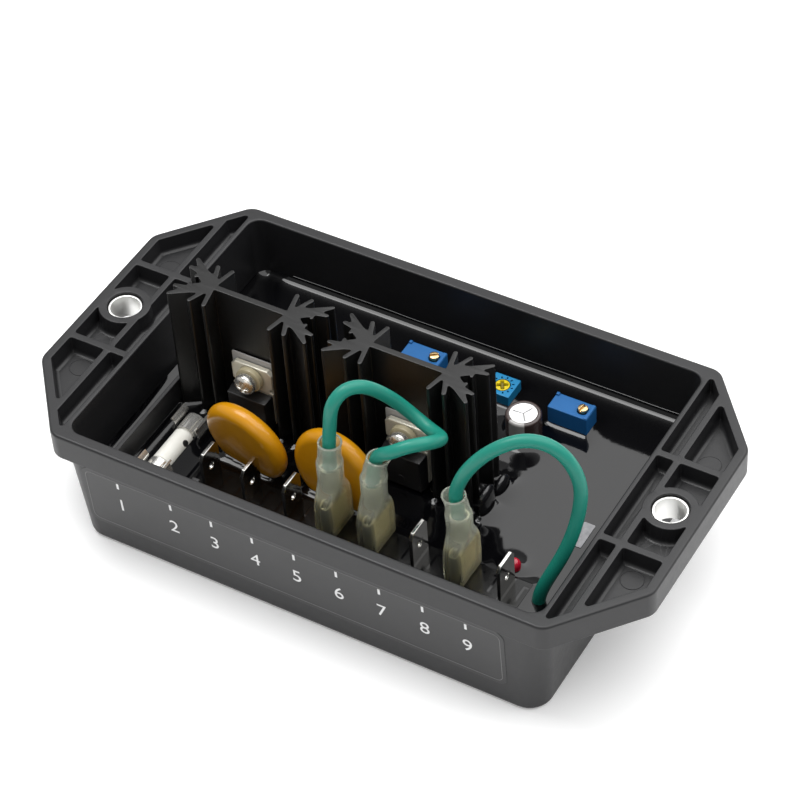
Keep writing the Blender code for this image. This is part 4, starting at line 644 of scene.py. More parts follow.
def coated(name, color, roughness, size=0.003, depth=0.00006, coat=0.5):
    """A dipped, glossy coat that pools a little unevenly."""
    finish = Finish(name, color, roughness, coat_weight=coat, coat_roughness=0.06, specular_ior_level=0.35)
    finish.cloud(shade(color, 0.88), shade(color, 1.1), size)
    return finish.relief(finish.noise(size), 0.5, depth).material


# Settings

def length(name, description, default):
    """A size in metres, shown in the sidebar."""
    return bpy.props.FloatProperty(
        name=name, description=description, default=default, min=0.0, unit="LENGTH", precision=5)


def share(name, description, default):
    """A number from 0 to 1."""
    return bpy.props.FloatProperty(
        name=name, description=description, default=default, min=0.0, max=1.0, subtype="FACTOR")


def paint(name, description, default):
    """A colour."""
    return bpy.props.FloatVectorProperty(
        name=name, description=description, default=default, size=3, min=0.0, max=1.0, subtype="COLOR")


class TraySettings(bpy.types.PropertyGroup):
    """Sizes and colour of the moulded tray."""
    color: paint("Plastic", "Colour of the moulded plastic", (0.011, 0.011, 0.012))
    rim_radius: length("Rim radius", "Rounding of the rim's outer edge", 0.0006)
    pocket_radius: length("Pocket radius", "Rounding of the pockets' edges", 0.00022)
    grain: length("Grain", "Size of the mould's grain", 0.00012)


class ResinSettings(bpy.types.PropertyGroup):
    """Look of the potting resin."""
    color: paint("Resin", "Colour of the resin", (0.0015, 0.0015, 0.002))
    rise: length("Rise", "How far the resin climbs up what stands in it", 0.0011)
    reach: length("Reach", "How far from a wall the resin starts to climb", 0.0012)
    roll: length("Roll", "Height of the slow waves in its surface", 0.00002)


class HeatSinkSettings(bpy.types.PropertyGroup):
    """Look of the heat sinks and their devices."""
    color: paint("Anodising", "Colour of the anodised heat sinks", (0.005, 0.005, 0.005))
    edge: length("Edge", "Rounding of the sawn top edge", 0.00012)
    washer: paint("Washer", "Colour of the shoulder washers", (0.52, 0.46, 0.30))
    pad: paint("Pad", "Colour of the insulating pads", (0.46, 0.45, 0.44))


class TerminalSettings(bpy.types.PropertyGroup):
    """Look of the terminals, boots and wires."""
    plating: paint("Plating", "Colour of the tinned metal", (0.72, 0.71, 0.68))
    wire: paint("Wire", "Colour of the wires' insulation", (0.010, 0.200, 0.148))
    boot: paint("Boot", "Colour of the clear boots", (0.88, 0.91, 0.80))
    boot_clear: share("Boot clearness", "How much light goes straight through a boot's wall", 0.83)


class ComponentSettings(bpy.types.PropertyGroup):
    """Colours of the components on the board."""
    varistor: paint("Varistor", "Colour of the varistors' coating", (0.54, 0.235, 0.003))
    trimmer: paint("Trimmer", "Colour of the long trimmers", (0.010, 0.095, 0.27))
    rotary: paint("Rotary trimmer", "Colour of the square trimmer", (0.010, 0.18, 0.37))
    rotor: paint("Rotor", "Colour of the square trimmer's rotor", (0.62, 0.48, 0.010))
    sleeve: paint("Sleeve", "Colour of the capacitor's sleeve", (0.035, 0.022, 0.020))
    lamp: paint("Lamp", "Colour of the lamp's dome", (0.34, 0.006, 0.022))


class LabelSettings(bpy.types.PropertyGroup):
    """Size and colour of the front label."""
    ink: paint("Ink", "Colour of the lines and numbers", (0.72, 0.72, 0.72))
    line: length("Line", "Width of the frame line", 0.0002)
    number: length("Number", "Height of the numbers", 0.0036)


class StageSettings(bpy.types.PropertyGroup):
    """Floor and light."""
    floor: paint("Floor", "Colour of the floor", (0.92, 0.92, 0.92))
    sky: bpy.props.FloatProperty(
        name="Sky", description="Strength of the light from all round", default=0.5, min=0.0)
    lamp: bpy.props.FloatProperty(
        name="Soft lights", description="Strength of the soft lights", default=1.0, min=0.0)


SETTINGS = {
    "regulator_tray": TraySettings,
    "regulator_resin": ResinSettings,
    "regulator_heat_sinks": HeatSinkSettings,
    "regulator_terminals": TerminalSettings,
    "regulator_components": ComponentSettings,
    "regulator_label": LabelSettings,
    "regulator_stage": StageSettings,
}


# Tray

def tray_outline(height, inset):
    """A rectangle that grows with the draft, its corners quarter circles, less an inset all round."""
    half = np.array(TRAY_HALF) + np.array(TRAY_DRAFT) * height - inset
    return rounded(rectangle(-half, half), TRAY_CORNER - inset, 8)


def tray_ring(height, inset):
    """The tray's outline set at its own height."""
    return at_height(tray_outline(height, inset), height)


def flange_outline():
    """The rim with its two ears: eight corners, rounded."""
    quarter = [(FLANGE_HALF_LENGTH, FLANGE_END_HALF_WIDTH), (FLANGE_SHOULDER_X, FLANGE_HALF_WIDTH)]
    corners = quarter + [(-x, y) for x, y in quarter[::-1]]
    corners += [(-x, -y) for x, y in corners]
    return anticlockwise(rounded(corners, FLANGE_CORNER, 8))


def ear_slope_y(x):
    """Where the ear's sloping wall has its inner face, at a distance along the tray."""
    slope = (FLANGE_HALF_WIDTH - FLANGE_END_HALF_WIDTH) / (FLANGE_HALF_LENGTH - FLANGE_SHOULDER_X)
    outer = FLANGE_HALF_WIDTH - slope * (x - FLANGE_SHOULDER_X)
    return min(outer - FLANGE_WALL * math.hypot(1.0, slope), FLANGE_HALF_WIDTH - FLANGE_WALL)


def boss_arc(first_x, last_x):
    """Points on the boss, on the side y > 0, between two distances along the tray."""
    first, last = np.arccos(np.clip((np.array([first_x, last_x]) - BUSH_X) / BOSS_RADIUS, -1.0, 1.0))
    angle = np.linspace(first, last, 9)
    return np.column_stack([BUSH_X + BOSS_RADIUS * np.cos(angle), BOSS_RADIUS * np.sin(angle)])


def ear_pockets():
    """Outlines of the right ear's pockets: the corners, the sides, the middle and the slot."""
    inner, outer = LONG_RIB_X
    near, far = CROSS_RIB_Y
    end_x = FLANGE_HALF_LENGTH - FLANGE_WALL
    start_x = POCKET_START_X
    corner = np.array([
        (outer, far), (end_x, far), (end_x, ear_slope_y(end_x)), (outer, ear_slope_y(outer))])
    side = np.array([
        (start_x, far), (inner, far), (inner, ear_slope_y(inner)), (start_x, ear_slope_y(start_x))])
    middle = np.concatenate([[(outer, near)], boss_arc(outer, end_x), [(end_x, near)]])
    bulge = boss_arc(inner, BUSH_X - BOSS_RADIUS)
    slot = np.concatenate([
        [(start_x, -near), (inner, -near)], bulge * (1, -1), bulge[::-1][1:],
        [(inner, near), (start_x, near)]])
    halves = [corner, side, middle]
    outlines = halves + [outline * (1, -1) for outline in halves]
    outlines = [rounded(anticlockwise(outline), 0.0006, 4) for outline in outlines]
    return outlines + [rounded(anticlockwise(slot), 0.0005, 3)]


def carried(outline, rows):
    """A grid of the outline at each row of (outset, height)."""
    return np.stack([at_height(outset(outline, distance), height) for distance, height in rows])


def mouth_rows(radius):
    """Rows of (outset, height) of a hole's edge, from the tray's top over a quarter round."""
    return [(aside, TRAY_HEIGHT - rise) for aside, rise in quarter_round(radius, 4)]


def add_pocket(skin, outline, edge):
    """A pocket's rounded edge, its drafted wall, a fillet and its floor; returns its mouth.

    The edge widens a quarter round towards the top, and the fillet narrows one towards the floor.
    """
    floor = TRAY_HEIGHT - POCKET_DEPTH
    draft = 0.0002
    rows = mouth_rows(edge)
    rows += [(-draft - rise, floor + aside) for aside, rise in quarter_round(POCKET_FILLET, 3)]
    wall = carried(outline, rows)
    skin.grid(wall)
    mark = ejector_mark(outline)
    if mark is None:
        skin.fill(wall[-1])
    else:
        profile = [
            (0.0026, 0.0), (0.00255, -0.00006), (0.00242, -0.00006), (0.00237, 0.00005), (0.0, 0.00005)]
        sides = 36
        disc = Skin().lathe(profile, sides).moved(Matrix.Translation((*mark, floor)))
        skin.add(disc).fill(wall[-1], disc.points[:sides])
    return wall[0]


def ejector_mark(outline):
    """Centre of the round pin mark in a corner pocket, or None in a pocket without one."""
    centre = (outline.min(axis=0) + outline.max(axis=0)) / 2
    size = outline.max(axis=0) - outline.min(axis=0)
    if size[0] < 0.008 or abs(centre[1]) < CROSS_RIB_Y[1]:
        return None
    return np.copysign(PIN_MARK_CENTRE, centre)


def add_body(skin):
    """The tray's outside, from its rounded foot to the fillet under the flange; returns its top."""
    foot = [tray_ring(rise, aside) for aside, rise in quarter_round(0.001, 4)]
    root = [tray_ring(FLANGE_BOTTOM - aside, -rise) for aside, rise in quarter_round(0.0003, 4)]
    skin.grid(np.stack(foot + root)).fill(foot[0])
    return root[-1]


def add_skirt(skin, radius):
    """The flange's outer wall, its edges quarter rounds; returns its lower and its upper edge."""
    rows = [(-aside, FLANGE_BOTTOM + rise) for aside, rise in quarter_round(0.0002, 3)]
    rows += [(-aside, height) for aside, height in mouth_rows(radius)[::-1]]
    skirt = carried(flange_outline(), rows)
    skin.grid(skirt)
    return skirt[0], skirt[-1]


def add_inside(skin):
    """The tray's inner wall, from the lip over a fillet to the floor; returns the lip's edge."""
    lip = [tray_ring(TRAY_HEIGHT - rise, TRAY_WALL - aside) for aside, rise in quarter_round(0.0004, 4)]
    fillet = [tray_ring(TRAY_FLOOR + aside, TRAY_WALL + rise) for aside, rise in quarter_round(0.0008, 4)]
    skin.grid(np.stack(lip + fillet)).fill(fillet[-1])
    return lip[0]


def tray_skin(settings):
    """The whole moulding as one closed skin, with the divider and the lug as shells of their own."""
    skin = Skin()
    body_top = add_body(skin)
    skirt_low, skirt_high = add_skirt(skin, settings.rim_radius)
    lower, upper = [body_top], []
    rows = [(0.0002, FLANGE_BOTTOM), (0.0, FLANGE_BOTTOM + 0.0002)] + mouth_rows(0.00025)[::-1]
    for side in (-1, 1):
        hole = circle((side * BUSH_X, 0.0), BUSH_RADII[1] + RUNNING_GAP, 48)
        bore = carried(hole, rows)
        skin.grid(bore)
        lower.append(bore[0])
        upper.append(bore[-1])
    skin.fill(skirt_low, *lower)

    mouths = [add_inside(skin)]
    for outline in ear_pockets():
        mouths.append(add_pocket(skin, outline, settings.pocket_radius))
        mouths.append(add_pocket(skin, anticlockwise(outline * (-1, 1)), settings.pocket_radius))
    skin.fill(skirt_high, *mouths, *upper)

    front = -TRAY_HALF[1] - TRAY_DRAFT[1] * TRAY_FLOOR + TRAY_WALL / 2
    low = (DIVIDER_X - DIVIDER_HALF, front, TRAY_FLOOR / 2)
    skin.add(Skin().block(low, (DIVIDER_X + DIVIDER_HALF, DIVIDER_END_Y, DIVIDER_TOP), 0.00018))
    return skin.add(Skin().block(*LUG, 0.0003))


class REGULATOR_OT_tray(bpy.types.Operator):
    """Build the moulded tray with its ribbed ears"""
    bl_idname = "regulator.tray"
    bl_label = "Tray"

    def execute(self, context):
        settings = context.scene.regulator_tray
        material = moulded("tray plastic", settings.color, 0.42, settings.grain, sheen=0.44)
        skin = tray_skin(settings)
        finish_piece("tray_moulding", skin, material, ["housing"], angle=50.0)
        return {"FINISHED"}


class REGULATOR_OT_bushes(bpy.types.Operator):
    """Build the turned bush in each ear"""
    bl_idname = "regulator.bushes"
    bl_label = "Bushes"

    def execute(self, context):
        finish = Finish("turned aluminium", (0.84, 0.84, 0.82), 0.34, 0.85)
        finish.rough(0.36, 0.14, 0.0004, (0.2, 0.2, 3.0))
        finish.relief(finish.noise(0.0004, 2.0, (0.2, 0.2, 3.0)), 0.3, 0.000006)
        inner, outer = BUSH_RADII
        edge = 0.00014
        profile = [
            (inner, BUSH_TOP - edge), (inner + edge * 0.3, BUSH_TOP - edge * 0.3), (inner + edge, BUSH_TOP),
            (outer - edge, BUSH_TOP), (outer - edge * 0.3, BUSH_TOP - edge * 0.3), (outer, BUSH_TOP - edge),
            (outer, FLANGE_BOTTOM), (inner, FLANGE_BOTTOM)]
        for name, side in (("left", -1), ("right", 1)):
            skin = Skin().lathe(profile, 64).moved(Matrix.Translation((side * BUSH_X, 0.0, 0.0)))
            finish_piece(f"turned_bush_{name}", skin, finish.material, [f"bush_{name}"])
        return {"FINISHED"}


# Label

def front_wall():
    """The front wall's plane: X along it, its slope up it, and its outward normal."""
    draft = TRAY_DRAFT[1]
    steep = 1.0 / math.hypot(1.0, draft)
    upward = (0.0, -draft * steep, steep)
    outward = (0.0, -steep, -draft * steep)
    place = (0.0, -TRAY_HALF[1], 0.0)
    return Matrix((
        (1.0, upward[0], outward[0], place[0]),
        (0.0, upward[1], outward[1], place[1]),
        (0.0, upward[2], outward[2], place[2]),
        (0.0, 0.0, 0.0, 1.0)))


def number_skin(text, height, centre, low, high):
    """A number's filled outline, made a mesh, centred on a point and raised from low to high."""
    curve = bpy.data.curves.new(f"number {text}", "FONT")
    curve.body = text
    curve.size = height
    curve.align_x = "CENTER"
    curve.align_y = "CENTER"
    curve.extrude = (high - low) / 2
    guide = bpy.data.objects.new(curve.name, curve)
    bpy.context.scene.collection.objects.link(guide)
    bpy.context.view_layer.update()
    mesh = bpy.data.meshes.new_from_object(guide.evaluated_get(bpy.context.evaluated_depsgraph_get()))
    skin = Skin()
    skin.points = np.array([vertex.co for vertex in mesh.vertices]) + (*centre, (high + low) / 2)
    skin.faces = [list(polygon.vertices) for polygon in mesh.polygons]
    bpy.data.objects.remove(guide)
    bpy.data.curves.remove(curve)
    bpy.data.meshes.remove(mesh)
    return skin


class REGULATOR_OT_label(bpy.types.Operator):
    """Put the label's film, frame line, marks and numbers on the front wall"""
    bl_idname = "regulator.label"
    bl_label = "Label"

    def execute(self, context):
        settings = context.scene.regulator_label
        wall = front_wall()
        low, high = np.array(LABEL_LOW), np.array(LABEL_HIGH)
        margin = 0.0009
        outline = rounded(rectangle(low - margin, high + margin), 0.0022, 6)
        film = Skin().plate(outline, 0.0, 0.00008, 0.00003)
        film_finish = Finish("label film", (0.010, 0.010, 0.011), 0.33)
        film_finish.rough(0.33, 0.1, 0.004)
        film_finish.relief(film_finish.noise(0.0008), 0.2, 0.00001)
        finish_piece("label_film", film.moved(wall), film_finish.material)

        border = Skin()
        frame_line = rounded(rectangle(low, high), 0.0016, 6)
        border.plate(frame_line, *PRINT_LEVELS, 0.0, [outset(frame_line, -settings.line)])
        dim = Finish("dim ink", shade(settings.ink, 0.16), 0.5)
        dim.cloud(shade(settings.ink, 0.13), shade(settings.ink, 0.20), 0.001)
        finish_piece("label_border", border.moved(wall), dim.material, flatten=False)

        ink = Skin()
        low, high = PRINT_LEVELS
        for index, across in enumerate(LABEL_MARKS):
            mark = rectangle((across - 0.00028, 0.0200), (across + 0.00028, 0.0217))
            ink.plate(mark, low, high + 0.000005)
            place = (across + 0.0001, 0.0146)
            ink.add(number_skin(str(index + 1), settings.number * FONT_SIZE, place, low, high))
        finish = Finish("label ink", settings.ink, 0.5)
        finish.cloud(shade(settings.ink, 0.9), shade(settings.ink, 1.1), 0.001)
        finish_piece("label_print", ink.moved(wall), finish.material, flatten=False)
        return {"FINISHED"}


# Resin

def outline_distance(points, outline):
    """Distance from points to a closed outline, less than zero inside it.

    The nearest place on each side is found by its share along the side, kept from 0 to 1; a
    point is inside where a line towards +X crosses an odd number of sides.
    """
    best = np.full(points.shape, np.inf)
    inside = np.zeros(points.shape, bool)
    for start, run in zip(outline, np.roll(outline, -1) - outline):
        if abs(run) < 1e-9:
            continue
        share_along = np.clip(((points - start) * run.conjugate()).real / abs(run) ** 2, 0.0, 1.0)
        best = np.minimum(best, abs(points - start - share_along * run))
        crosses = (start.imag > points.imag) != ((start + run).imag > points.imag)
        slant = run.real / (run.imag if run.imag else 1.0)
        inside ^= crosses & (points.real < start.real + (points.imag - start.imag) * slant)
    return np.where(inside, -best, best)


def resin_obstacles():
    """Outlines of what stands in the resin, each with its share of the full rise."""
    obstacles = [(heat_sink_outline(x), 0.8) for x in HEAT_SINK_X]
    obstacles.append((strip_corners(0.0), 0.5))
    obstacles += [(centred(centre, TRIMMER_HALF), 0.6) for centre in TRIMMER_CENTRES]
    obstacles.append((centred(ROTARY_CENTRE, ROTARY_HALF), 0.5))
    obstacles.append((circle(CAPACITOR_CENTRE, CAPACITOR_RADIUS, 40), 1.0))
    obstacles.append((circle(LED_CENTRE, LED_RADIUS + 0.0004, 24), 0.6))
    oval = circle((0.0, 0.0), DIPPED_HALF_WIDTH, 32) * (DIPPED_HALF_THICKNESS / DIPPED_HALF_WIDTH, 1.0)
    obstacles += [(oval + centre, 1.0) for centre in DIPPED_CENTRES]
    for index, (x, y, z) in enumerate(VARISTOR_CENTRES):
        half = math.sqrt(VARISTOR_RADIUS ** 2 - (z - RESIN_TOP) ** 2)
        turn = math.radians(VARISTOR_TURNS[index])
        foot = y - math.radians(VARISTOR_LEANS[index]) * (RESIN_TOP - z)
        box = rounded(rectangle((-half, -VARISTOR_HALF), (half, VARISTOR_HALF)), 0.0018, 4)
        turned = box @ np.array([(math.cos(turn), math.sin(turn)), (-math.sin(turn), math.cos(turn))])
        obstacles.append((turned + (x, foot), 0.9))
    divider = rectangle((DIVIDER_X - DIVIDER_HALF, -TRAY_HALF[1]), (DIVIDER_X + DIVIDER_HALF, DIVIDER_END_Y))
    obstacles.append((divider, 0.8))
    obstacles.append((circle(LINK_FOOT, WIRE_RADIUS, 24), 0.1))
    return obstacles


def resin_skin(settings):
    """The resin's surface over its block.

    Height is the level, plus a rise that falls off with the distance from each wall and each
    piece as an exponential, the largest one counting, plus slow waves.  The grid's outer
    points are drawn in to the tray's rounded corners.  The film's edge is a thin bead along
    the rear wall, whose height wanders by a product of two sines.
    """
    inset = TRAY_WALL
    half = np.array(TRAY_HALF) + np.array(TRAY_DRAFT) * RESIN_TOP - inset
    spacing = 0.0004
    counts = np.ceil(2 * half / spacing).astype(int)
    lines = [np.linspace(-h, h, n + 1) for h, n in zip(half, counts)]
    across, along = np.meshgrid(*lines, indexing="ij")
    corner = TRAY_CORNER - inset
    beyond_x = np.maximum(abs(across) - half[0] + corner, 0.0)
    beyond_y = np.maximum(abs(along) - half[1] + corner, 0.0)
    beyond = np.hypot(beyond_x, beyond_y)
    excess = np.maximum(beyond - corner, 0.0) / np.maximum(beyond, 1e-9)
    pull = np.where((beyond_x > 0) & (beyond_y > 0), excess, 0.0)
    across = across - np.sign(across) * beyond_x * pull
    along = along - np.sign(along) * beyond_y * pull

    flat = across + 1j * along
    wall = np.array([complex(*point) for point in tray_outline(RESIN_TOP, inset)])
    from_wall = outline_distance(flat.ravel(), wall).reshape(flat.shape)
    rise = np.exp(np.minimum(from_wall, 0.0) / settings.reach)
    for outline, height in resin_obstacles():
        curve = outline[:, 0] + 1j * outline[:, 1]
        margin = 4.0 * settings.reach
        near = (across > outline[:, 0].min() - margin) & (across < outline[:, 0].max() + margin)
        near &= (along > outline[:, 1].min() - margin) & (along < outline[:, 1].max() + margin)
        reach = np.maximum(outline_distance(flat[near], curve), 0.0)
        rise[near] = np.maximum(rise[near], height * np.exp(-reach / settings.reach))
    waves = np.sin(across / 0.0071 + 1.3) * np.cos(along / 0.0093) + np.sin((across + along) / 0.0121)
    level = RESIN_TOP + settings.rise * rise + settings.roll * waves
    top = np.stack([across, along, level], axis=-1)

    skin = Skin().grid(top, closed=False)
    run = np.linspace(*BEAD_ENDS, 200)[:, None]
    turn = np.arange(8) * 2 * np.pi / 8
    wander = 0.00008 * np.sin(run / 0.0031) * np.sin(run / 0.011)
    height = RESIN_TOP + settings.rise + 0.0007 + wander
    depth = half[1] + TRAY_DRAFT[1] * (height - RESIN_TOP) - 0.00004
    bead = np.stack(np.broadcast_arrays(
        run, depth + BEAD_RADIUS * np.cos(turn), height + BEAD_RADIUS * np.sin(turn)), axis=-1)
    skin.grid(bead).fill(bead[0]).fill(bead[-1])
    border = np.concatenate([top[:-1, 0], top[-1, :-1], top[:0:-1, -1], top[0, :0:-1]])
    foot = border * (1.0, 1.0, 0.0) + (0.0, 0.0, TRAY_FLOOR + SEAT_GAP)
    skin.grid(np.stack([border, foot]))
    return skin.fill(foot)


class REGULATOR_OT_resin(bpy.types.Operator):
    """Pour the potting resin, which climbs a little at everything that stands in it"""
    bl_idname = "regulator.resin"
    bl_label = "Resin"

    def execute(self, context):
        settings = context.scene.regulator_resin
        finish = Finish("potting resin", settings.color, 0.05, ior=1.43)
        finish.rough(0.06, 0.05, 0.008)
        finish.relief(finish.noise(0.006, 1.0) * 0.8 + finish.noise(0.0006) * 0.2, 0.25, 0.00004)
        skin = resin_skin(settings)
        finish_piece("poured_resin", skin, finish.material, ["potting_resin"], flatten=False)
        return {"FINISHED"}


# Heat sinks

def edge_line(start, end, start_half, end_half, side):
    """One edge of a tapered fin: its middle line moved aside by its half thickness at each end."""
    across = (end - start) / abs(end - start) * 1j * side
    return start + across * start_half, end + across * end_half


def meet(first, second):
    """Where two edge lines cross, or half way between them where they nearly run on."""
    run = (first[1] - first[0]) / abs(first[1] - first[0])
    other = (second[1] - second[0]) / abs(second[1] - second[0])
    cross = (run.conjugate() * other).imag
    if abs(cross) < 0.35:
        return (first[0] + second[0]) / 2
    offset = second[0] - first[0]
    return first[0] + run * (offset.conjugate() * other).imag / cross


def fin_walk(start, branch):
    """Outline points met on a walk out along one side of a fin and back along the other."""
    end = start + branch.tip
    if not branch.forks:
        heading = math.atan2((end - start).imag, (end - start).real)
        angle = heading + np.linspace(-np.pi / 2, np.pi / 2, 6)
        return list(end + branch.tip_half * np.exp(1j * angle))
    halves = (branch.root_half, branch.tip_half)
    first, last = [edge_line(start, end, *halves, side)[::-1] for side in (-1, 1)]
    return fork_walk(end, branch.forks, first, last)


def fork_walk(start, forks, first_line, last_line):
    """Walk round the fins that leave one point, with a crotch between neighbours."""
    outline = []
    line = first_line
    for fork in forks:
        ends = (start, start + fork.tip, fork.root_half, fork.tip_half)
        outline.append(meet(line, edge_line(*ends, -1)))
        outline += fin_walk(start, fork)
        line = edge_line(*ends, 1)
    return outline + [meet(line, last_line)]


def flipped(branch):
    """The same fin on the other side of the web."""
    forks = [flipped(fork) for fork in branch.forks[::-1]]
    return branch._replace(tip=branch.tip.conjugate(), forks=forks)


def heat_sink_outline(centre_x):
    """The section: one hub's walk round its fins, the same walk turned half round, and small
    rounds in every crotch."""
    elbow = complex(0.00416, 0.0028)
    forks = [
        Branch(0.00500 + 0.00120j - elbow, 0.0011, 0.0004, ()),
        Branch(0.00756 + 0.0032j - elbow, 0.0009, 0.00045, ()),
        Branch(0.00746 + 0.00585j - elbow, 0.0009, 0.00045, ()),
    ]
    rear = [
        Branch(elbow, 0.0016, 0.0015, forks),
        Branch(0.00231 + 0.0057j, 0.0006, 0.0005, ()),
        Branch(-0.00129 + 0.0057j, 0.0006, 0.0005, ()),
    ]
    fins = [flipped(branch) for branch in rear[::-1]] + rear
    web = [(side * 1j * WEB_HALF, HUB_OFFSET + side * 1j * WEB_HALF) for side in (-1, 1)]
    walk = np.array(fork_walk(HUB_OFFSET + 0j, fins, *web))
    walk = np.concatenate([walk, -walk]) + complex(centre_x, HEAT_SINK_Y)
    return rounded(np.column_stack([walk.real, walk.imag]), 0.0003, 2)


class REGULATOR_OT_heat_sinks(bpy.types.Operator):
    """Extrude the two finned heat sinks"""
    bl_idname = "regulator.heat_sinks"
    bl_label = "Heat sinks"

    def execute(self, context):
        settings = context.scene.regulator_heat_sinks
        finish = Finish("black anodising", settings.color, 0.36, specular_ior_level=0.44)
        finish.cloud(shade(settings.color, 0.8), shade(settings.color, 1.3), 0.002, (1.0, 1.0, 0.05))
        finish.rough(0.36, 0.12, 0.0006, (1.0, 1.0, 0.04))
        finish.relief(finish.noise(0.0003, 3.0, (1.0, 1.0, 0.01)), 0.5, 0.00003)
        for name, centre_x in zip(("left", "right"), HEAT_SINK_X):
            outline = heat_sink_outline(centre_x)
            skin = Skin().plate(outline, MOUNTED_BOTTOM, HEAT_SINK_TOP, settings.edge, steps=2)
            finish_piece(
                f"finned_heat_sink_{name}", skin, finish.material, [f"heat_sink_{name}"])
        return {"FINISHED"}


def cross_recess(width, reach, depth):
    """Depth of two crossing bars with soft sides, shallower towards their ends."""
    def bar(lengthwise, sideways):
        inside = soft_step((width / 2 - abs(sideways)) / (0.3 * width) + 0.5)
        return inside * soft_step((reach - abs(lengthwise)) / (0.4 * width) + 0.5)

    def depth_at(across, along):
        taper = 1.0 - 0.5 * np.minimum(np.hypot(across, along) / reach, 1.0)
        return depth * taper * np.maximum(bar(across, along), bar(along, across))

    return depth_at


def slot_recess(width, depth, turn):
    """Depth of one bar right across, with soft sides, turned by an angle."""
    def depth_at(across, along):
        sideways = along * math.cos(turn) - across * math.sin(turn)
        return depth * soft_step((width / 2 - abs(sideways)) / (0.35 * width) + 0.5)

    return depth_at


def facing_front(centre_x, y, height=SCREW_HEIGHT):
    """A place on a device, on its screw's axis unless a height is given, with Z towards the front."""
    return Matrix.Translation((centre_x, y, height)) @ Matrix.Rotation(math.pi / 2, 4, "X")


def pad_skin(centre_x):
    """The insulating sheet behind a device, with the screw's hole."""
    low = (centre_x - PAD_HALF_WIDTH, DEVICE_BOTTOM)
    high = (centre_x + PAD_HALF_WIDTH, DEVICE_BOTTOM + PAD_HEIGHT)
    hole = circle((centre_x, SCREW_HEIGHT), 0.0016, 24)
    sheet = Skin().plate(rounded(rectangle(low, high), 0.0003, 2), -PAD_BACK, -PAD_FRONT, 0.00008, [hole])
    return sheet.moved(FACING_FRONT)


def tab_skin(centre_x):
    """The metal tab with cut corners, a notch in each side and the screw's hole, on its three legs."""
    low, high = DEVICE_BOTTOM + 0.0005, DEVICE_BOTTOM + 0.016
    half, cut, nick = TAB_HALF_WIDTH, 0.0010, 0.0007
    notch = high - 0.0058
    right = [
        (half, low), (half, notch - 0.0006), (half - nick, notch - 0.0003), (half - nick, notch + 0.0003),
        (half, notch + 0.0006), (half, high - cut), (half - cut, high)]
    corners = [(centre_x + x, z) for x, z in right] + [(centre_x - x, z) for x, z in right[::-1]]
    hole = circle((centre_x, SCREW_HEIGHT), 0.0021, 32)
    tab = Skin().plate(rounded(corners, 0.0002, 2), -TAB_BACK, -TAB_FRONT, 0.0003, [hole], steps=5)
    tab.moved(FACING_FRONT)
    middle = (TAB_BACK + TAB_FRONT) / 2
    for leg in (-1, 0, 1):
        x = centre_x + leg * LEG_PITCH
        foot = (x - LEG_HALF, middle - LEG_HALF, BOARD_BOTTOM)
        tab.add(Skin().block(foot, (x + LEG_HALF, middle + LEG_HALF, low + 0.0005), 0.0001))
    return tab


def case_skin(centre_x):
    """The moulded case: upright at the tab, then drafted to a rounded front edge, with a pin mark."""
    low = (centre_x - TAB_HALF_WIDTH, DEVICE_BOTTOM)
    high = (centre_x + TAB_HALF_WIDTH, DEVICE_BOTTOM + 0.0094)
    rows = [(0.0, -CASE_BACK), (0.0, -CASE_BACK + 0.0008)]
    rows += [(-0.0003 - rise, -CASE_FRONT - aside) for aside, rise in quarter_round(0.00025, 3)]
    case = Skin().swept(rounded(rectangle(low, high), 0.0003, 3), rows).moved(FACING_FRONT)
    mark = Skin().lathe([(0.0, 0.00004), (0.0009, 0.00004), (0.00095, -0.0001), (0.0, -0.0001)], 32)
    return case.add(mark.moved(facing_front(centre_x, CASE_FRONT, DEVICE_BOTTOM + 0.0026)))


def washer_skin(centre_x):
    """The shoulder washer: a disc with a rounded rim, and a sleeve that goes into the tab's hole."""
    depth, rim = CASE_BACK - WASHER_FRONT, 0.0002
    bore, outer, sleeve, reach = 0.0015, 0.0031, 0.00185, 0.00065
    profile = [
        (bore, depth), (outer - rim, depth), (outer - rim * 0.3, depth - rim * 0.3), (outer, depth - rim),
        (outer, 0.0), (sleeve, 0.0), (sleeve, -reach), (bore, -reach)]
    return Skin().lathe(profile, 48).moved(facing_front(centre_x, CASE_BACK))


def screw_skin(centre_x):
    """The cross-head screw: a crowned head on a shank that reaches through the heat sink's web."""
    head, crown, shank = 0.0025, 0.0022, 0.0013
    reach = SCREW_SEAT - (HEAT_SINK_Y + WEB_HALF + SEAT_GAP)
    side = [
        (head, crown * 0.30), (head * 0.985, 0.0), (shank, 0.0), (shank, reach - 0.0006),
        (0.0009, reach - 0.0012), (0.0, reach - 0.0012)]

    def crowned(r):
        """The head's height: a level share, and the root of one less a power of the distance out."""
        return crown * (0.42 + 0.58 * np.sqrt(np.maximum(1.0 - (r / head) ** 2.6, 0.0)))

    screw = Skin().dial(head, crowned, side, cross_recess(0.0007, 0.0014, 0.0013))
    return screw.moved(facing_front(centre_x, SCREW_SEAT))


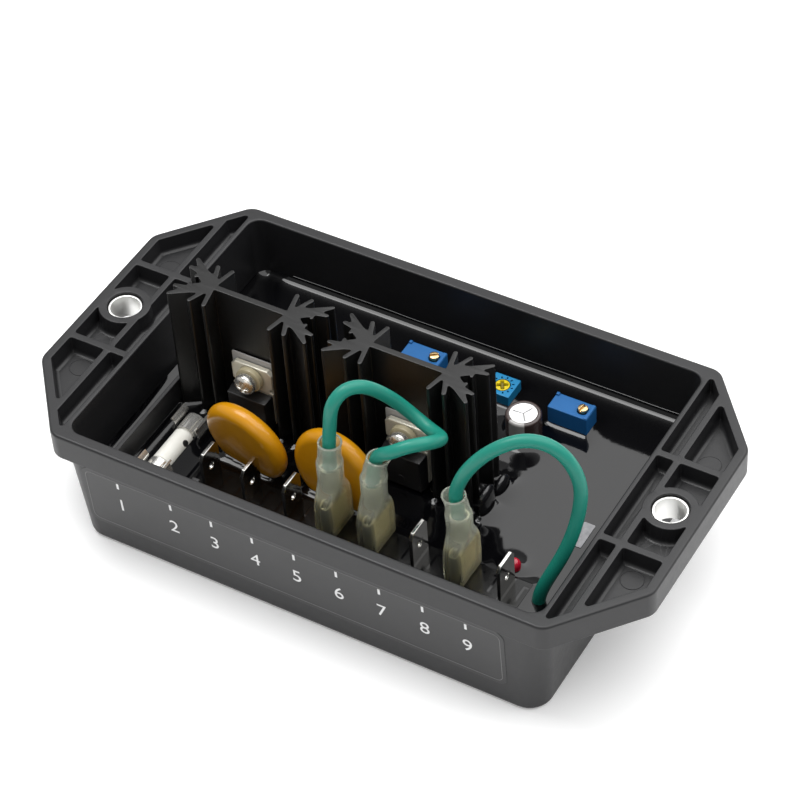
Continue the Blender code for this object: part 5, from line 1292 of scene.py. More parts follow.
class REGULATOR_OT_devices(bpy.types.Operator):
    """Bolt a power device to the front of each heat sink"""
    bl_idname = "regulator.devices"
    bl_label = "Power devices"

    def execute(self, context):
        settings = context.scene.regulator_heat_sinks
        pad = Finish("insulating pad", settings.pad, 0.6)
        pad.cloud(shade(settings.pad, 0.9), shade(settings.pad, 1.1), 0.002)
        pad.relief(pad.noise(0.0004), 0.4, 0.00003)
        finishes = {
            "pad": pad.material,
            "plate": metal("device metal", (0.92, 0.88, 0.74), 0.36, metallic=0.45),
            "case": moulded("device moulding", (0.014, 0.014, 0.015), 0.4, 0.0001),
            "washer": moulded("washer nylon", settings.washer, 0.4, 0.0002),
            "screw": metal("screw steel", (0.82, 0.80, 0.74), 0.26, 0.0008, 0.00001, metallic=0.85),
        }
        for name, x in zip(("left", "right"), HEAT_SINK_X):
            finish_piece(
                f"pad_sheet_{name}", pad_skin(x), finishes["pad"],
                [f"insulating_pad_{name}"])
            finish_piece(
                f"device_plate_{name}", tab_skin(x), finishes["plate"],
                [f"device_tab_{name}"])
            finish_piece(
                f"device_body_{name}", case_skin(x), finishes["case"],
                [f"device_case_{name}"])
            finish_piece(
                f"washer_{name}", washer_skin(x), finishes["washer"],
                [f"shoulder_washer_{name}"])
            finish_piece(
                f"cross_screw_{name}", screw_skin(x), finishes["screw"],
                [f"device_screw_{name}"], angle=55.0, flatten=False)
        return {"FINISHED"}


# Fuse

def clip_section():
    """The clip's bent strip across the fuse: half of it in points, mirrored and smoothed."""
    hold = CLIP_HOLD
    half = [
        (0.0, -hold - 0.00045), (hold * 0.6, -hold - 0.00045), (hold * 0.92, -hold * 0.75),
        (hold * 1.05, -hold * 0.15), (hold * 1.0, hold * 0.3), (hold * 0.88, hold * 0.62),
        (hold * 0.84, hold * 0.78), (hold * 1.08, hold * 1.15)]
    path = [(-x, z) for x, z in half[:0:-1]] + half
    return smooth_path(path, 0.00025)


def cap_skin():
    """A pressed cap round Z, its closed end up, with a dimple in it and a rounded edge."""
    radius, long, wall = FUSE_CAP_RADIUS, FUSE_CAP_LENGTH, 0.0003
    profile = [(0.0, long - 0.0002), (0.0009, long - 0.00012), (0.0012, long)]
    profile += [(radius - aside, long - rise) for aside, rise in quarter_round(0.00035, 4)]
    profile += [
        (radius, 0.0004), (radius + 0.00002, 0.0), (radius - wall, 0.0), (radius - wall, long - wall),
        (0.0, long - wall)]
    return Skin().lathe(profile, 48)


def tube_skin():
    """The fuse's tube round Z, drawn in under each cap."""
    neck, edge = 0.00215, 0.0002
    full = FUSE_HALF_LENGTH - FUSE_CAP_LENGTH - SEAT_GAP
    end = FUSE_HALF_LENGTH - 0.0006
    half = [
        (0.0, end), (neck, end), (neck, full), (FUSE_TUBE_RADIUS - edge, full),
        (FUSE_TUBE_RADIUS, full - edge)]
    return Skin().lathe(half + [(radius, -height) for radius, height in half[::-1]], 56)


class REGULATOR_OT_fuse(bpy.types.Operator):
    """Build the fuse in its two spring clips"""
    bl_idname = "regulator.fuse"
    bl_label = "Fuse"

    def execute(self, context):
        color = context.scene.regulator_terminals.plating
        plating = metal("fuse plating", color, 0.2, 0.0015, 0.00003, metallic=0.8)
        section = strip(clip_section() + (FUSE_X, FUSE_Z), CLIP_THICKNESS)
        for name, end in (("front", -1), ("rear", 1)):
            outer = FUSE_Y + end * (FUSE_HALF_LENGTH + CLIP_THICKNESS)
            low, high = sorted((-outer, -(outer - end * CLIP_LENGTH)))
            clip = Skin().plate(section, low, high, 0.0001, steps=2).moved(FACING_FRONT)
            finish_piece(f"spring_clip_{name}", clip, plating, [f"fuse_clip_{name}"])
            place = Matrix.Translation((FUSE_X, FUSE_Y + end * (FUSE_HALF_LENGTH - FUSE_CAP_LENGTH), FUSE_Z))
            cap = cap_skin().moved(place @ Matrix.Rotation(-end * math.pi / 2, 4, "X"))
            finish_piece(f"pressed_cap_{name}", cap, plating, [f"fuse_cap_{name}"])

        place = Matrix.Translation((FUSE_X, FUSE_Y, FUSE_Z)) @ Matrix.Rotation(-math.pi / 2, 4, "X")
        finish = Finish("glazed ceramic", (0.78, 0.77, 0.71), 0.35, coat_weight=0.3, coat_roughness=0.1)
        glaze = finish.mix(finish.noise(0.002, 3.0), (0.72, 0.71, 0.65), (0.82, 0.81, 0.76))
        inputs = {0: finish.place(), 1: FUSE_DOT}
        offset = finish.node("ShaderNodeVectorMath", {"operation": "DISTANCE"}, inputs, "Value")
        dot = 1.0 - finish.step(offset, 0.00072, 0.00084)
        finish.paint("Base Color", finish.mix(dot, glaze, (0.02, 0.02, 0.02)))
        finish.relief(finish.noise(0.0008), 0.3, 0.00002)
        tube = tube_skin().moved(place)
        finish_piece("ceramic_tube", tube, finish.material, ["fuse_tube"])
        return {"FINISHED"}


# Varistors

class REGULATOR_OT_varistors(bpy.types.Operator):
    """Stand the two dipped varistor discs in front of the heat sinks"""
    bl_idname = "regulator.varistors"
    bl_label = "Varistors"

    def execute(self, context):
        color = context.scene.regulator_components.varistor
        material = coated("varistor coat", color, 0.3, size=0.004, coat=0.25)
        for index, name in enumerate(("left", "right")):
            lean, turn = math.radians(VARISTOR_LEANS[index]), math.radians(VARISTOR_TURNS[index])
            place = Matrix.Translation(VARISTOR_CENTRES[index]) @ Matrix.Rotation(turn, 4, "Z")
            place = place @ Matrix.Rotation(lean, 4, "X") @ Matrix.Rotation(math.pi / 2, 4, "X")
            skin = disc_skin(index).moved(place)
            x, y, _ = VARISTOR_CENTRES[index]
            low, high = VARISTOR_LEAD
            for side in (-1, 1):
                lead = Skin().lathe([(0.0, low), (LEG_HALF, low), (LEG_HALF, high), (0.0, high)], 16)
                skin.add(lead.moved(Matrix.Translation((x + side * VARISTOR_LEAD_PITCH / 2, y, 0.0))))
            finish_piece(
                f"dipped_disc_{name}", skin, material, [f"varistor_{name}"],
                flatten=False)
        return {"FINISHED"}


def disc_skin(index):
    """A dipped disc as a grid of turns by steps from one face's middle over the rim to the other's.

    The distance out follows the faces as a straight run and the rim as half an oval; the
    radius wanders by a few waves round the disc, and the faces swell by a shallow hump.
    """
    sides = 112
    angle = np.arange(sides) * 2 * np.pi / sides
    wander = 1.0 + 0.006 * np.sin(2 * angle + 0.6 + index) + 0.004 * np.sin(3 * angle + 2.0 * index)
    rim = 0.0022
    face = np.linspace(0.0, VARISTOR_RADIUS - rim, 12)
    sweep = np.linspace(0.0, np.pi, 17)[1:-1]
    out = np.concatenate([face, VARISTOR_RADIUS - rim + rim * np.sin(sweep), face[::-1]])[:, None]
    flat = 0.90 + 0.10 * np.cos(np.pi * face / (VARISTOR_RADIUS - rim) / 2)
    rim_height = 0.90 * np.cos(sweep)
    height = VARISTOR_HALF * np.concatenate([flat, rim_height, -flat[::-1]])[:, None]
    across = out * wander * np.cos(angle)
    along = out * wander * np.sin(angle)
    return Skin().grid(np.stack([across, along, np.broadcast_to(height, across.shape)], axis=-1))


# Terminals

def spade_skin(index):
    """A blade on two pins, with chamfered upper corners, a detent hole and broken edges."""
    half, pin, low, foot, cut = SPADE_WIDTH / 2, 0.0012, MOUNTED_BOTTOM, BOARD_BOTTOM, 0.00095
    side = [(half, foot), (half, SPADE_TOP - cut * 1.4), (half - cut, SPADE_TOP)]
    corners = [(-half + pin, foot), (-half + pin, low), (half - pin, low), (half - pin, foot)]
    corners += side + [(-across, z) for across, z in side[::-1]]
    x, y = spade_place(index)
    outline = rounded([(y + across, z) for across, z in corners], 0.00018, 3)
    hole = circle((y, 0.0202), 0.0009, 28)
    skin = Skin().plate(outline, x - SPADE_THICKNESS / 2, x + SPADE_THICKNESS / 2, 0.00014, [hole])
    return skin.moved(FACING_X)


def strip_skin():
    """The strip's block with a sunk seat round each tab and hooked grooves between them.

    The top face is filled round the mouths of the seats and the grooves; each mouth's own
    outline is carried straight down to its floor.
    """
    skin = Skin()
    rows = edged(MOUNTED_BOTTOM, STRIP_TOP, 0.00025)
    body = anticlockwise(rounded(strip_corners(0.0), 0.0004, 4))
    walls = np.stack([at_height(outset(body, distance), height) for distance, height in rows])
    skin.grid(walls).fill(walls[0])
    mouths = []
    hook = np.array([
        (0.0, -0.0024), (0.0006, -0.0024), (0.0006, 0.0018), (0.0013, 0.0018), (0.0013, 0.0024),
        (0.0, 0.0024)])
    for index in range(TAB_COUNT):
        place = spade_place(index)
        seat = (SPADE_THICKNESS / 2 + SEAT_GAP, SPADE_WIDTH / 2 + SEAT_GAP)
        outlines = [(centred(place, seat), SEAT_DEPTH)]
        for side in (-1, 1):
            outlines.append((place + (side * GROOVE_OFFSET, 0.0) + hook * (side, 1.0), GROOVE_DEPTH))
        for outline, depth in outlines:
            mouth = anticlockwise(outline)
            mouths.append(at_height(mouth, STRIP_TOP))
            floor = at_height(mouth, STRIP_TOP - depth)
            skin.grid(np.stack([mouths[-1], floor])).fill(floor)
    return skin.fill(walls[-1], *mouths)


class REGULATOR_OT_terminals(bpy.types.Operator):
    """Build the terminal strip and its eight spade tabs"""
    bl_idname = "regulator.terminals"
    bl_label = "Terminals"

    def execute(self, context):
        settings = context.scene.regulator_terminals
        plating = metal("tab plating", shade(settings.plating, 0.8), 0.13, 0.0012, 0.000012)
        for index in range(TAB_COUNT):
            finish_piece(
                f"blade_{index + 1}", spade_skin(index), plating,
                [f"spade_tab_{index + 1}"])
        material = moulded("strip moulding", (0.004, 0.004, 0.004), 0.16, 0.0002, sheen=0.24)
        finish_piece("strip_moulding", strip_skin(), material, ["terminal_strip"])
        return {"FINISHED"}


def receptacle_skin(index):
    """A folded receptacle: a strip curled over both edges of the blade, a neck and a barrel with
    a rounded nose that is closed on the wire."""
    x, y = spade_place(index)
    thick = 0.0004
    back = SPADE_THICKNESS / 2 + SEAT_GAP + thick / 2
    width = SPADE_WIDTH / 2 + SEAT_GAP + thick / 2
    half = [
        (-back - 0.00005, 0.0010), (-back - 0.0003, 0.0017), (-back - 0.00022, 0.0025),
        (-0.0006, width - 0.00015), (0.00005, width), (0.0007, width - 0.00015), (back, width - 0.00055),
        (back, 0.0012)]
    path = half + [(across, -along) for across, along in half[::-1]]
    path = smooth_path(path, 0.00028) + (x, y)
    low = STRIP_TOP + 2 * SEAT_GAP
    high = low + 0.0078
    skin = Skin().plate(strip(path, thick), low, high, 0.00006, steps=1)
    radius = WIRE_RADIUS + RUNNING_GAP
    neck = rectangle((x + back - thick / 2, high - 0.001), (x + back + thick / 2, WIRE_START - 0.0012))
    skin.add(Skin().plate(neck, -y - 0.0012, -y + 0.0012).moved(FACING_FRONT))
    outer = radius + 0.0003
    nose = np.linspace(0.0, np.pi / 2, 12)
    crimp, end = 0.0314, 0.0338
    profile = [(outer * math.sin(a), WIRE_START - 0.0017 - 0.0015 * math.cos(a)) for a in nose]
    profile += [(outer, crimp - 0.0006), (outer - 0.00012, crimp), (outer, crimp + 0.0006), (outer, end)]
    profile += [(radius, end), (radius, WIRE_START - SEAT_GAP), (0.0, WIRE_START - SEAT_GAP)]
    return skin.add(Skin().lathe(profile, 48).moved(Matrix.Translation((x, y, 0.0))))


def boot_skin(order):
    """A soft sleeve as rings up its outer wall, over a rounded lip and down its inner wall.

    Each ring is an oval whose corners fill out as its power grows: half size times the
    cosine or sine, raised to two over the power.
    """
    x, y = spade_place(WIRED_TABS[order])
    top, lean, neck = BOOT_NECK_TOPS[order], BOOT_LEANS[order], BOOT_NECK_RADIUS
    low = STRIP_TOP + SEAT_GAP
    step = BOOT_SHOULDER + 0.56 * (top - BOOT_SHOULDER)
    stations = np.array([
        (0.0, low, 0.00205, 0.00425, 12.0),
        (0.0, low + 0.0003, 0.00222, 0.00442, 12.0),
        (0.0, 0.0205, 0.0023, BOOT_HALF_WIDTH, 12.0),
        (0.0, BOOT_SHOULDER - 0.0038, 0.00226, 0.00448, 10.0),
        (0.0, BOOT_SHOULDER - 0.0026, 0.00225, 0.00440, 8.0),
        (0.0, BOOT_SHOULDER - 0.0014, 0.00235, 0.00412, 5.0),
        (0.0, BOOT_SHOULDER - 0.0002, 0.00252, 0.00365, 3.4),
        (0.0, BOOT_SHOULDER + 0.0010, 0.00266, 0.00312, 2.5),
        (lean / 8, BOOT_SHOULDER + 0.0026, neck * 0.99, neck * 1.03, 2.1),
        (lean / 5, step - 0.0004, neck * 1.05, neck * 1.07, 2.0),
        (lean / 4, step, neck * 1.03, neck * 1.04, 2.0),
        (lean / 3.8, step + 0.0003, neck * 0.93, neck * 0.93, 2.0),
        (lean * 0.5, (step + top) / 2, neck * 0.91, neck * 0.91, 2.0),
        (lean * 0.85, top - 0.0009, neck * 0.91, neck * 0.91, 2.0),
        (lean * 0.97, top - 0.0003, neck * 0.95, neck * 0.95, 2.0),
        (lean, top - 0.00008, neck * 0.93, neck * 0.93, 2.0),
    ])
    inner = stations[::-1].copy()
    inner[:, 2:4] -= BOOT_WALL
    inner[0, 2:4] += 0.0001
    lip = (stations[-1] + inner[0]) / 2 + (0.0, 0.00008, 0.0, 0.0, 0.0)
    rows = np.concatenate([stations, [lip], inner])
    sides = 96
    angle = np.arange(sides) * 2 * np.pi / sides
    shift, height, half_x, half_y, power = (column[:, None] for column in rows.T)
    across = half_x * np.sign(np.cos(angle)) * abs(np.cos(angle)) ** (2 / power)
    along = half_y * np.sign(np.sin(angle)) * abs(np.sin(angle)) ** (2 / power)
    points = np.stack(np.broadcast_arrays(
        x + BOOT_SHIFT + shift + across, y + along, height), axis=-1)
    return Skin().grid(points, round_trip=True)


class REGULATOR_OT_receptacles(bpy.types.Operator):
    """Push a receptacle in its clear boot onto each wired tab"""
    bl_idname = "regulator.receptacles"
    bl_label = "Receptacles and boots"

    def execute(self, context):
        settings = context.scene.regulator_terminals
        plating = metal("receptacle plating", (0.88, 0.85, 0.72), 0.34, 0.001, 0.00002, metallic=0.7)
        vinyl = Finish("clear vinyl", settings.boot, 0.2, ior=1.33, transmission_weight=settings.boot_clear)
        upper = vinyl.mix(vinyl.noise(0.003, 3.0), shade(settings.boot, 0.9), shade(settings.boot, 1.08))
        # Painted light: below the shoulder the vinyl turns yellow for the receptacle's metal seen through
        # it, and its narrow front face is painted darker for the shade inside the boot.
        below = 1.0 - vinyl.step(vinyl.along((0.0, 0.0, 1.0)), BOOT_SHOULDER - 0.0025, BOOT_SHOULDER)
        painted_see_through_tint = vinyl.mix(below, upper, (0.96, 0.90, 0.60))
        front = float(spade_place(0) @ (-TAB_ROW_SLOPE, 1.0)) - BOOT_HALF_WIDTH + 0.0003
        row = vinyl.along((-TAB_ROW_SLOPE, 1.0, 0.0))
        painted_front_shade = below * (1.0 - vinyl.step(row, front, front + 0.0004))
        vinyl.paint("Base Color", vinyl.mix(painted_front_shade, painted_see_through_tint, shade(settings.boot, 0.50)))
        vinyl.relief(vinyl.noise(0.0015), 0.35, 0.00006)
        for order, index in enumerate(WIRED_TABS):
            finish_piece(
                f"crimped_receptacle_{order + 1}", receptacle_skin(index), plating,
                [f"receptacle_{order + 1}"])
            finish_piece(
                f"clear_boot_{order + 1}", boot_skin(order), vinyl.material,
                [f"boot_{order + 1}"], angle=180.0, flatten=False)
        return {"FINISHED"}


def wire_line(order, route, end_order=None):
    """A wire's route in the tray's frame, from its tab's barrel."""
    x, y = spade_place(WIRED_TABS[order])
    points = [(x, y, WIRE_START)] + [(x + along, y + back, height) for along, height, back in route]
    if end_order is not None:
        points.append((*spade_place(WIRED_TABS[end_order]), WIRE_START))
    return smooth_path(points, 0.001)


class REGULATOR_OT_wires(bpy.types.Operator):
    """Run the jumper between two tabs and the link from the third into the resin"""
    bl_idname = "regulator.wires"
    bl_label = "Wires"

    def execute(self, context):
        color = tuple(context.scene.regulator_terminals.wire)
        finish = Finish("wire insulation", color, 0.36, specular_ior_level=0.32)
        finish.cloud(shade(color, 0.92), shade(color, 1.1), 0.003)
        finish.rough(0.38, 0.12, 0.0012)
        finish.relief(finish.noise(0.0009), 0.25, 0.00004)
        for name, line in (("jumper", wire_line(0, JUMPER_ROUTE, 1)), ("link", wire_line(2, LINK_ROUTE))):
            curve = bpy.data.curves.new(f"{name}_lead", "CURVE")
            curve.dimensions = "3D"
            curve.bevel_depth = WIRE_RADIUS
            curve.bevel_resolution = 8
            curve.use_fill_caps = True
            spline = curve.splines.new("POLY")
            spline.points.add(len(line) - 1)
            spline.points.foreach_set("co", np.column_stack([line, np.ones(len(line))]).ravel())
            curve.materials.append(finish.material)
            wire = bpy.data.objects.new(f"{name}_lead", curve)
            context.scene.collection.objects.link(wire)
            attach(wire, "root")
            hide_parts(f"{name}_wire")
        return {"FINISHED"}


# Trimmers

def trimmer_skin(centre):
    """A moulded block bored for its screw, with a raised bar at one end and a knob at the other."""
    x, y = centre
    half_x, half_y = TRIMMER_HALF
    outline = rounded(centred(centre, TRIMMER_HALF), 0.00025, 3)
    bore = circle((x + TRIMMER_SCREW_OFFSET, y), TRIMMER_SCREW_RADIUS + RUNNING_GAP, 32)
    skin = Skin().plate(outline, MOUNTED_BOTTOM, TRIMMER_TOP, 0.00018, [bore])
    skin.plate(outset(bore, 0.0002), MOUNTED_BOTTOM + 0.0005, TRIMMER_TOP - 0.002)
    low, high = TRIMMER_TOP - 0.0003, TRIMMER_TOP + 0.00018
    inset, wide = 0.0001, 0.0008
    left, right = x - half_x + inset, x + half_x - inset
    front, back = y - half_y + inset, y + half_y - inset
    skin.add(Skin().block((right - wide, front, low), (right, back, high), 0.0001))
    return skin.add(Skin().block((left, back - wide, low), (left + 0.0007, back, high + 0.0002), 0.0001))


def trimmer_screw_skin(centre, turn):
    """A long trimmer's slotted screw, its head falling off towards the edge as a fourth power."""
    radius = TRIMMER_SCREW_RADIUS
    foot = -TRIMMER_SCREW_RISE - 0.0017
    side = [(radius, -0.00025), (radius, foot), (0.0, foot)]
    slot = slot_recess(0.0005, 0.0006, turn)
    screw = Skin().dial(radius, lambda r: 0.0002 - 0.00016 * (r / radius) ** 4, side, slot, 22, 56)
    x, y = centre
    return screw.moved(Matrix.Translation((x + TRIMMER_SCREW_OFFSET, y, TRIMMER_TOP + TRIMMER_SCREW_RISE)))


def rotary_skin():
    """The square trimmer's block: one cut corner, a round seat, and sunk marks on a circle round it."""
    corners = centred(ROTARY_CENTRE, ROTARY_HALF)
    left, front = corners[0]
    cut = [(left, front + ROTARY_CUT_CORNER), (left + ROTARY_CUT_CORNER, front)]
    outline = rounded(np.concatenate([cut, corners[1:]]), 0.00025, 3)
    seat = circle(ROTARY_CENTRE, ROTOR_RADIUS + RUNNING_GAP, 40)
    mark = rectangle((0.00215, -0.00014), (0.00262, 0.00014))
    marks = []
    for a in np.radians(np.arange(-60, 241, 30)):
        turned = np.array([(math.cos(a), math.sin(a)), (-math.sin(a), math.cos(a))])
        marks.append(mark @ turned + ROTARY_CENTRE)
    block = Skin().plate(outline, MOUNTED_BOTTOM, ROTARY_TOP, 0.00015, [seat, *marks], steps=2)
    return block.plate(outset(seat, 0.0002), MOUNTED_BOTTOM + 0.0005, ROTARY_TOP - 0.0016)


def rotor_skin():
    """The square trimmer's cross-slot rotor, its head falling off towards the edge as a sixth power."""
    radius, foot = ROTOR_RADIUS, -0.0013
    side = [(radius, -0.0003), (radius, foot), (0.0, foot)]
    cross = cross_recess(0.00075, radius * 0.78, 0.0011)
    rotor = Skin().dial(radius, lambda r: 0.0001 - 0.00018 * (r / radius) ** 6, side, cross)
    place = Matrix.Translation((*ROTARY_CENTRE, ROTARY_TOP))
    return rotor.moved(place @ Matrix.Rotation(math.radians(30.0), 4, "Z"))


class REGULATOR_OT_trimmers(bpy.types.Operator):
    """Build the two long trimmers and the square one with its rotor"""
    bl_idname = "regulator.trimmers"
    bl_label = "Trimmers"

    def execute(self, context):
        settings = context.scene.regulator_components
        body = moulded("trimmer moulding", settings.trimmer, 0.45, 0.00015, sheen=0.25)
        brass = metal("turned brass", (0.62, 0.46, 0.24), 0.3, 0.0006, 0.00001)
        turns = (math.radians(35.0), math.radians(80.0))
        for name, centre, turn in zip(("left", "right"), TRIMMER_CENTRES, turns):
            finish_piece(
                f"trimmer_block_{name}", trimmer_skin(centre), body,
                [f"trimmer_body_{name}"])
            finish_piece(
                f"slotted_screw_{name}", trimmer_screw_skin(centre, turn), brass,
                [f"trimmer_screw_{name}"], f"{name}_adjuster", flatten=False)

        rotary = moulded("rotary moulding", settings.rotary, 0.4, 0.00015, sheen=0.25)
        finish_piece("rotary_block", rotary_skin(), rotary, ["rotary_trimmer_body"])
        yellow = Finish("rotor moulding", settings.rotor, 0.4, specular_ior_level=0.2)
        # Painted shade: below its top face, in the cross recess and down its side, the rotor's colour is
        # darkened.
        height = yellow.along((0.0, 0.0, 1.0))
        painted_recess_shade = 1.0 - yellow.step(height, ROTARY_TOP - 0.0006, ROTARY_TOP - 0.0001)
        yellow.paint("Base Color", yellow.mix(painted_recess_shade, settings.rotor, shade(settings.rotor, 0.3)))
        yellow.relief(yellow.noise(0.0002), 0.3, 0.00003)
        finish_piece(
            "cross_rotor", rotor_skin(), yellow.material, ["rotary_trimmer_rotor"],
            "rotary_adjuster", flatten=False)
        return {"FINISHED"}


# Capacitor and small components

def vent_recess(across, along):
    """Depth of three scored rays from the middle, a third of a turn apart."""
    depth = np.zeros(np.broadcast(across, along).shape)
    for turn in np.radians(VENT_TURNS):
        ahead = across * math.cos(turn) + along * math.sin(turn)
        sideways = along * math.cos(turn) - across * math.sin(turn)
        inside = (ahead > -0.00005) & (ahead < VENT_REACH)
        ray = soft_step((0.00013 - abs(sideways)) / 0.0001 + 0.5) * inside
        depth = np.maximum(depth, 0.00014 * ray)
    return depth


def can_skin():
    """The can: a scored flat top, a rounded shoulder, and a side with a groove pressed into it."""
    radius, flat = CAN_RADIUS, CAN_RADIUS - CAN_SHOULDER
    shoulder = [
        (flat + CAN_SHOULDER * math.sin(a), CAN_TOP - CAN_SHOULDER * (1 - math.cos(a)))
        for a in np.linspace(0.2, np.pi / 2, 6)]
    side = shoulder + [
        (radius, CAN_GROOVE + 0.0005), (radius - 0.0004, CAN_GROOVE), (radius, CAN_GROOVE - 0.0005),
        (radius, MOUNTED_BOTTOM), (0.0, MOUNTED_BOTTOM)]
    return Skin().dial(flat, lambda r: CAN_TOP + 0 * r, side, vent_recess, 48, 120)


def score_shade_skin():
    """Three thin bars in the scores of the can's top, in a darker grey that paints the shade of the grooves.
    """
    scores = Skin()
    half = 0.00012
    for turn in VENT_TURNS:
        ray = Skin().block((0.0, -half, CAN_TOP - 0.0001), (VENT_REACH, half, CAN_TOP + 0.00004))
        scores.add(ray.moved(Matrix.Rotation(math.radians(turn), 4, "Z")))
    return scores


def sleeve_skin():
    """The sleeve: a lip rolled over the can's shoulder, and a waist where it shrank into the groove."""
    outer, wall, lip = CAPACITOR_RADIUS, 0.00025, CAPACITOR_RADIUS - 0.00095
    rim = [(outer - aside, CAPACITOR_TOP - rise) for aside, rise in quarter_round(CAN_SHOULDER, 5)]
    waist = [
        (outer, CAN_GROOVE + 0.0006), (outer - 0.0003, CAN_GROOVE), (outer, CAN_GROOVE - 0.0006),
        (outer, MOUNTED_BOTTOM), (outer - wall, MOUNTED_BOTTOM)]
    inner = [(radius - wall, height - wall * 0.7) for radius, height in rim[::-1]]
    profile = [(lip, CAPACITOR_TOP - 0.00004), *rim, *waist, *inner, (lip, CAPACITOR_TOP - wall * 0.6)]
    return Skin().lathe(profile, 96)


class REGULATOR_OT_capacitor(bpy.types.Operator):
    """Build the vented capacitor can in its sleeve"""
    bl_idname = "regulator.capacitor"
    bl_label = "Capacitor"

    def execute(self, context):
        color = tuple(context.scene.regulator_components.sleeve)
        place = Matrix.Translation((*CAPACITOR_CENTRE, 0.0))
        finish = Finish("drawn aluminium", (0.86, 0.86, 0.86), 0.3, 1.0)
        finish.rough(0.32, 0.12, 0.0008)
        finish.relief(finish.noise(0.0005), 0.3, 0.00001)
        can = can_skin().moved(place)
        finish_piece("vented_can", can, finish.material, ["capacitor_can"], flatten=False)
        # Painted shade: the scores are filled with darker grey metal for the shade in their grooves.
        score_shade = Finish("vent score", (0.30, 0.30, 0.30), 0.5, 0.6)
        score_shade.cloud((0.22, 0.22, 0.22), (0.36, 0.36, 0.36), 0.0006)
        finish_piece("vent_score_shade", score_shade_skin().moved(place), score_shade.material)

        shrunk = Finish("shrunk sleeve", color, 0.25, coat_weight=0.3, coat_roughness=0.15)
        mottled = shrunk.mix(shrunk.noise(0.002, 3.0), shade(color, 0.8), shade(color, 1.3))
        across = shrunk.along((1.0, 0.0, 0.0)) - CAPACITOR_CENTRE[0]
        back = shrunk.along((0.0, 1.0, 0.0)) - CAPACITOR_CENTRE[1]
        turn = across.math("ARCTAN2", back, across)
        start, end = STRIPE_TURNS
        stripe = shrunk.step(turn, start, start + 0.06) * (1.0 - shrunk.step(turn, end - 0.06, end))
        shrunk.paint("Base Color", shrunk.mix(stripe, mottled, (0.30, 0.29, 0.28)))
        shrunk.relief(shrunk.noise(0.0009, 2.0, (1.0, 1.0, 0.4)), 0.3, 0.00004)
        sleeve = sleeve_skin().moved(place)
        finish_piece("shrunk_sleeve", sleeve, shrunk.material, ["capacitor_sleeve"])
        return {"FINISHED"}


def lamp_skin():
    """The lamp: a half-round dome on a straight side, a flange round its foot and two legs."""
    dome, foot, flange = LED_TOP - LED_RADIUS, LED_TOP - 0.0053, 0.0019
    quarter = np.linspace(0, np.pi / 2, 12)
    profile = [(LED_RADIUS * math.sin(a), dome + LED_RADIUS * math.cos(a)) for a in quarter]
    profile += [
        (LED_RADIUS, foot + 0.001), (flange - 0.00005, foot + 0.001), (flange, foot + 0.0009),
        (flange, foot), (0.0, foot)]
    skin = Skin().lathe(profile, 48)
    half = 0.0003
    for across in (-LEG_PITCH / 2, LEG_PITCH / 2):
        low = (across - half, -half, BOARD_BOTTOM)
        skin.add(Skin().block(low, (across + half, half, foot + 0.0005)))
    return skin.moved(Matrix.Translation((*LED_CENTRE, 0.0)))


def dipped_skin(centre, top):
    """A dipped component: a turned drop with an oval dome and a drawn-in foot, squeezed flat."""
    radius = DIPPED_HALF_WIDTH
    dome = radius * 0.8
    shoulder = top - dome
    quarter = np.linspace(0, np.pi / 2, 16)
    profile = [(radius * math.sin(a), shoulder + dome * math.cos(a)) for a in quarter]
    profile += [
        (radius * 1.01, shoulder - 0.001), (radius * 0.97, MOUNTED_BOTTOM + 0.002),
        (radius * 0.95, MOUNTED_BOTTOM), (0.0, MOUNTED_BOTTOM)]
    squeeze = Matrix.Diagonal((DIPPED_HALF_THICKNESS / radius, 1.0, 1.0, 1.0))
    return Skin().lathe(profile, 56).moved(Matrix.Translation((*centre, 0.0)) @ squeeze)


class REGULATOR_OT_small_components(bpy.types.Operator):
    """Build the lamp and the two dipped components"""
    bl_idname = "regulator.small_components"
    bl_label = "Lamp and dipped components"

    def execute(self, context):
        color = context.scene.regulator_components.lamp
        lamp = Finish("lamp epoxy", color, 0.12, coat_weight=0.4, coat_roughness=0.05)
        lamp.cloud(shade(color, 0.8), shade(color, 1.4), 0.001)
        lamp.relief(lamp.noise(0.001), 0.2, 0.00001)
        finish_piece("lamp_dome", lamp_skin(), lamp.material, ["led"])

        dip = coated("black dip", (0.008, 0.008, 0.009), 0.12, size=0.0015, depth=0.00008)
        for name, centre, top in zip(("rear", "front"), DIPPED_CENTRES, DIPPED_TOPS):
            finish_piece(
                f"dipped_blob_{name}", dipped_skin(centre, top), dip,
                [f"dipped_component_{name}"], flatten=False)
        return {"FINISHED"}


class REGULATOR_OT_board(bpy.types.Operator):
    """Finish the board under the resin and lay the blank sticker on it"""
    bl_idname = "regulator.board"
    bl_label = "Board and sticker"

    def execute(self, context):
        laminate = moulded("board laminate", (0.03, 0.10, 0.05), 0.45, 0.0003)
        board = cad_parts["circuit_board"]
        for slot in board.material_slots:
            slot.material = laminate
        paper = Finish("sticker paper", (0.22, 0.22, 0.23), 0.55, specular_ior_level=0.3)
        paper.cloud((0.10, 0.10, 0.11), (0.36, 0.36, 0.37), 0.0012)
        paper.relief(paper.noise(0.0004), 0.3, 0.00002)
        outline = rounded(rectangle(*STICKER), 0.0003, 3)
        skin = Skin().plate(outline, RESIN_TOP - 0.00005, RESIN_TOP + 0.00016, 0.00004, steps=1)
        finish_piece("blank_sticker", skin, paper.material)
        return {"FINISHED"}


# Stage

def add_area(name, place, size, power, target=(0.0, 0.0, 0.02)):
    """A square soft light that faces a target."""
    light = bpy.data.lights.new(name, "AREA")
    light.size = size
    light.energy = power
    item = bpy.data.objects.new(name, light)
    item.location = place
    item.rotation_euler = (Vector(place) - Vector(target)).to_track_quat("Z", "Y").to_euler()
    bpy.context.scene.collection.objects.link(item)
    return item


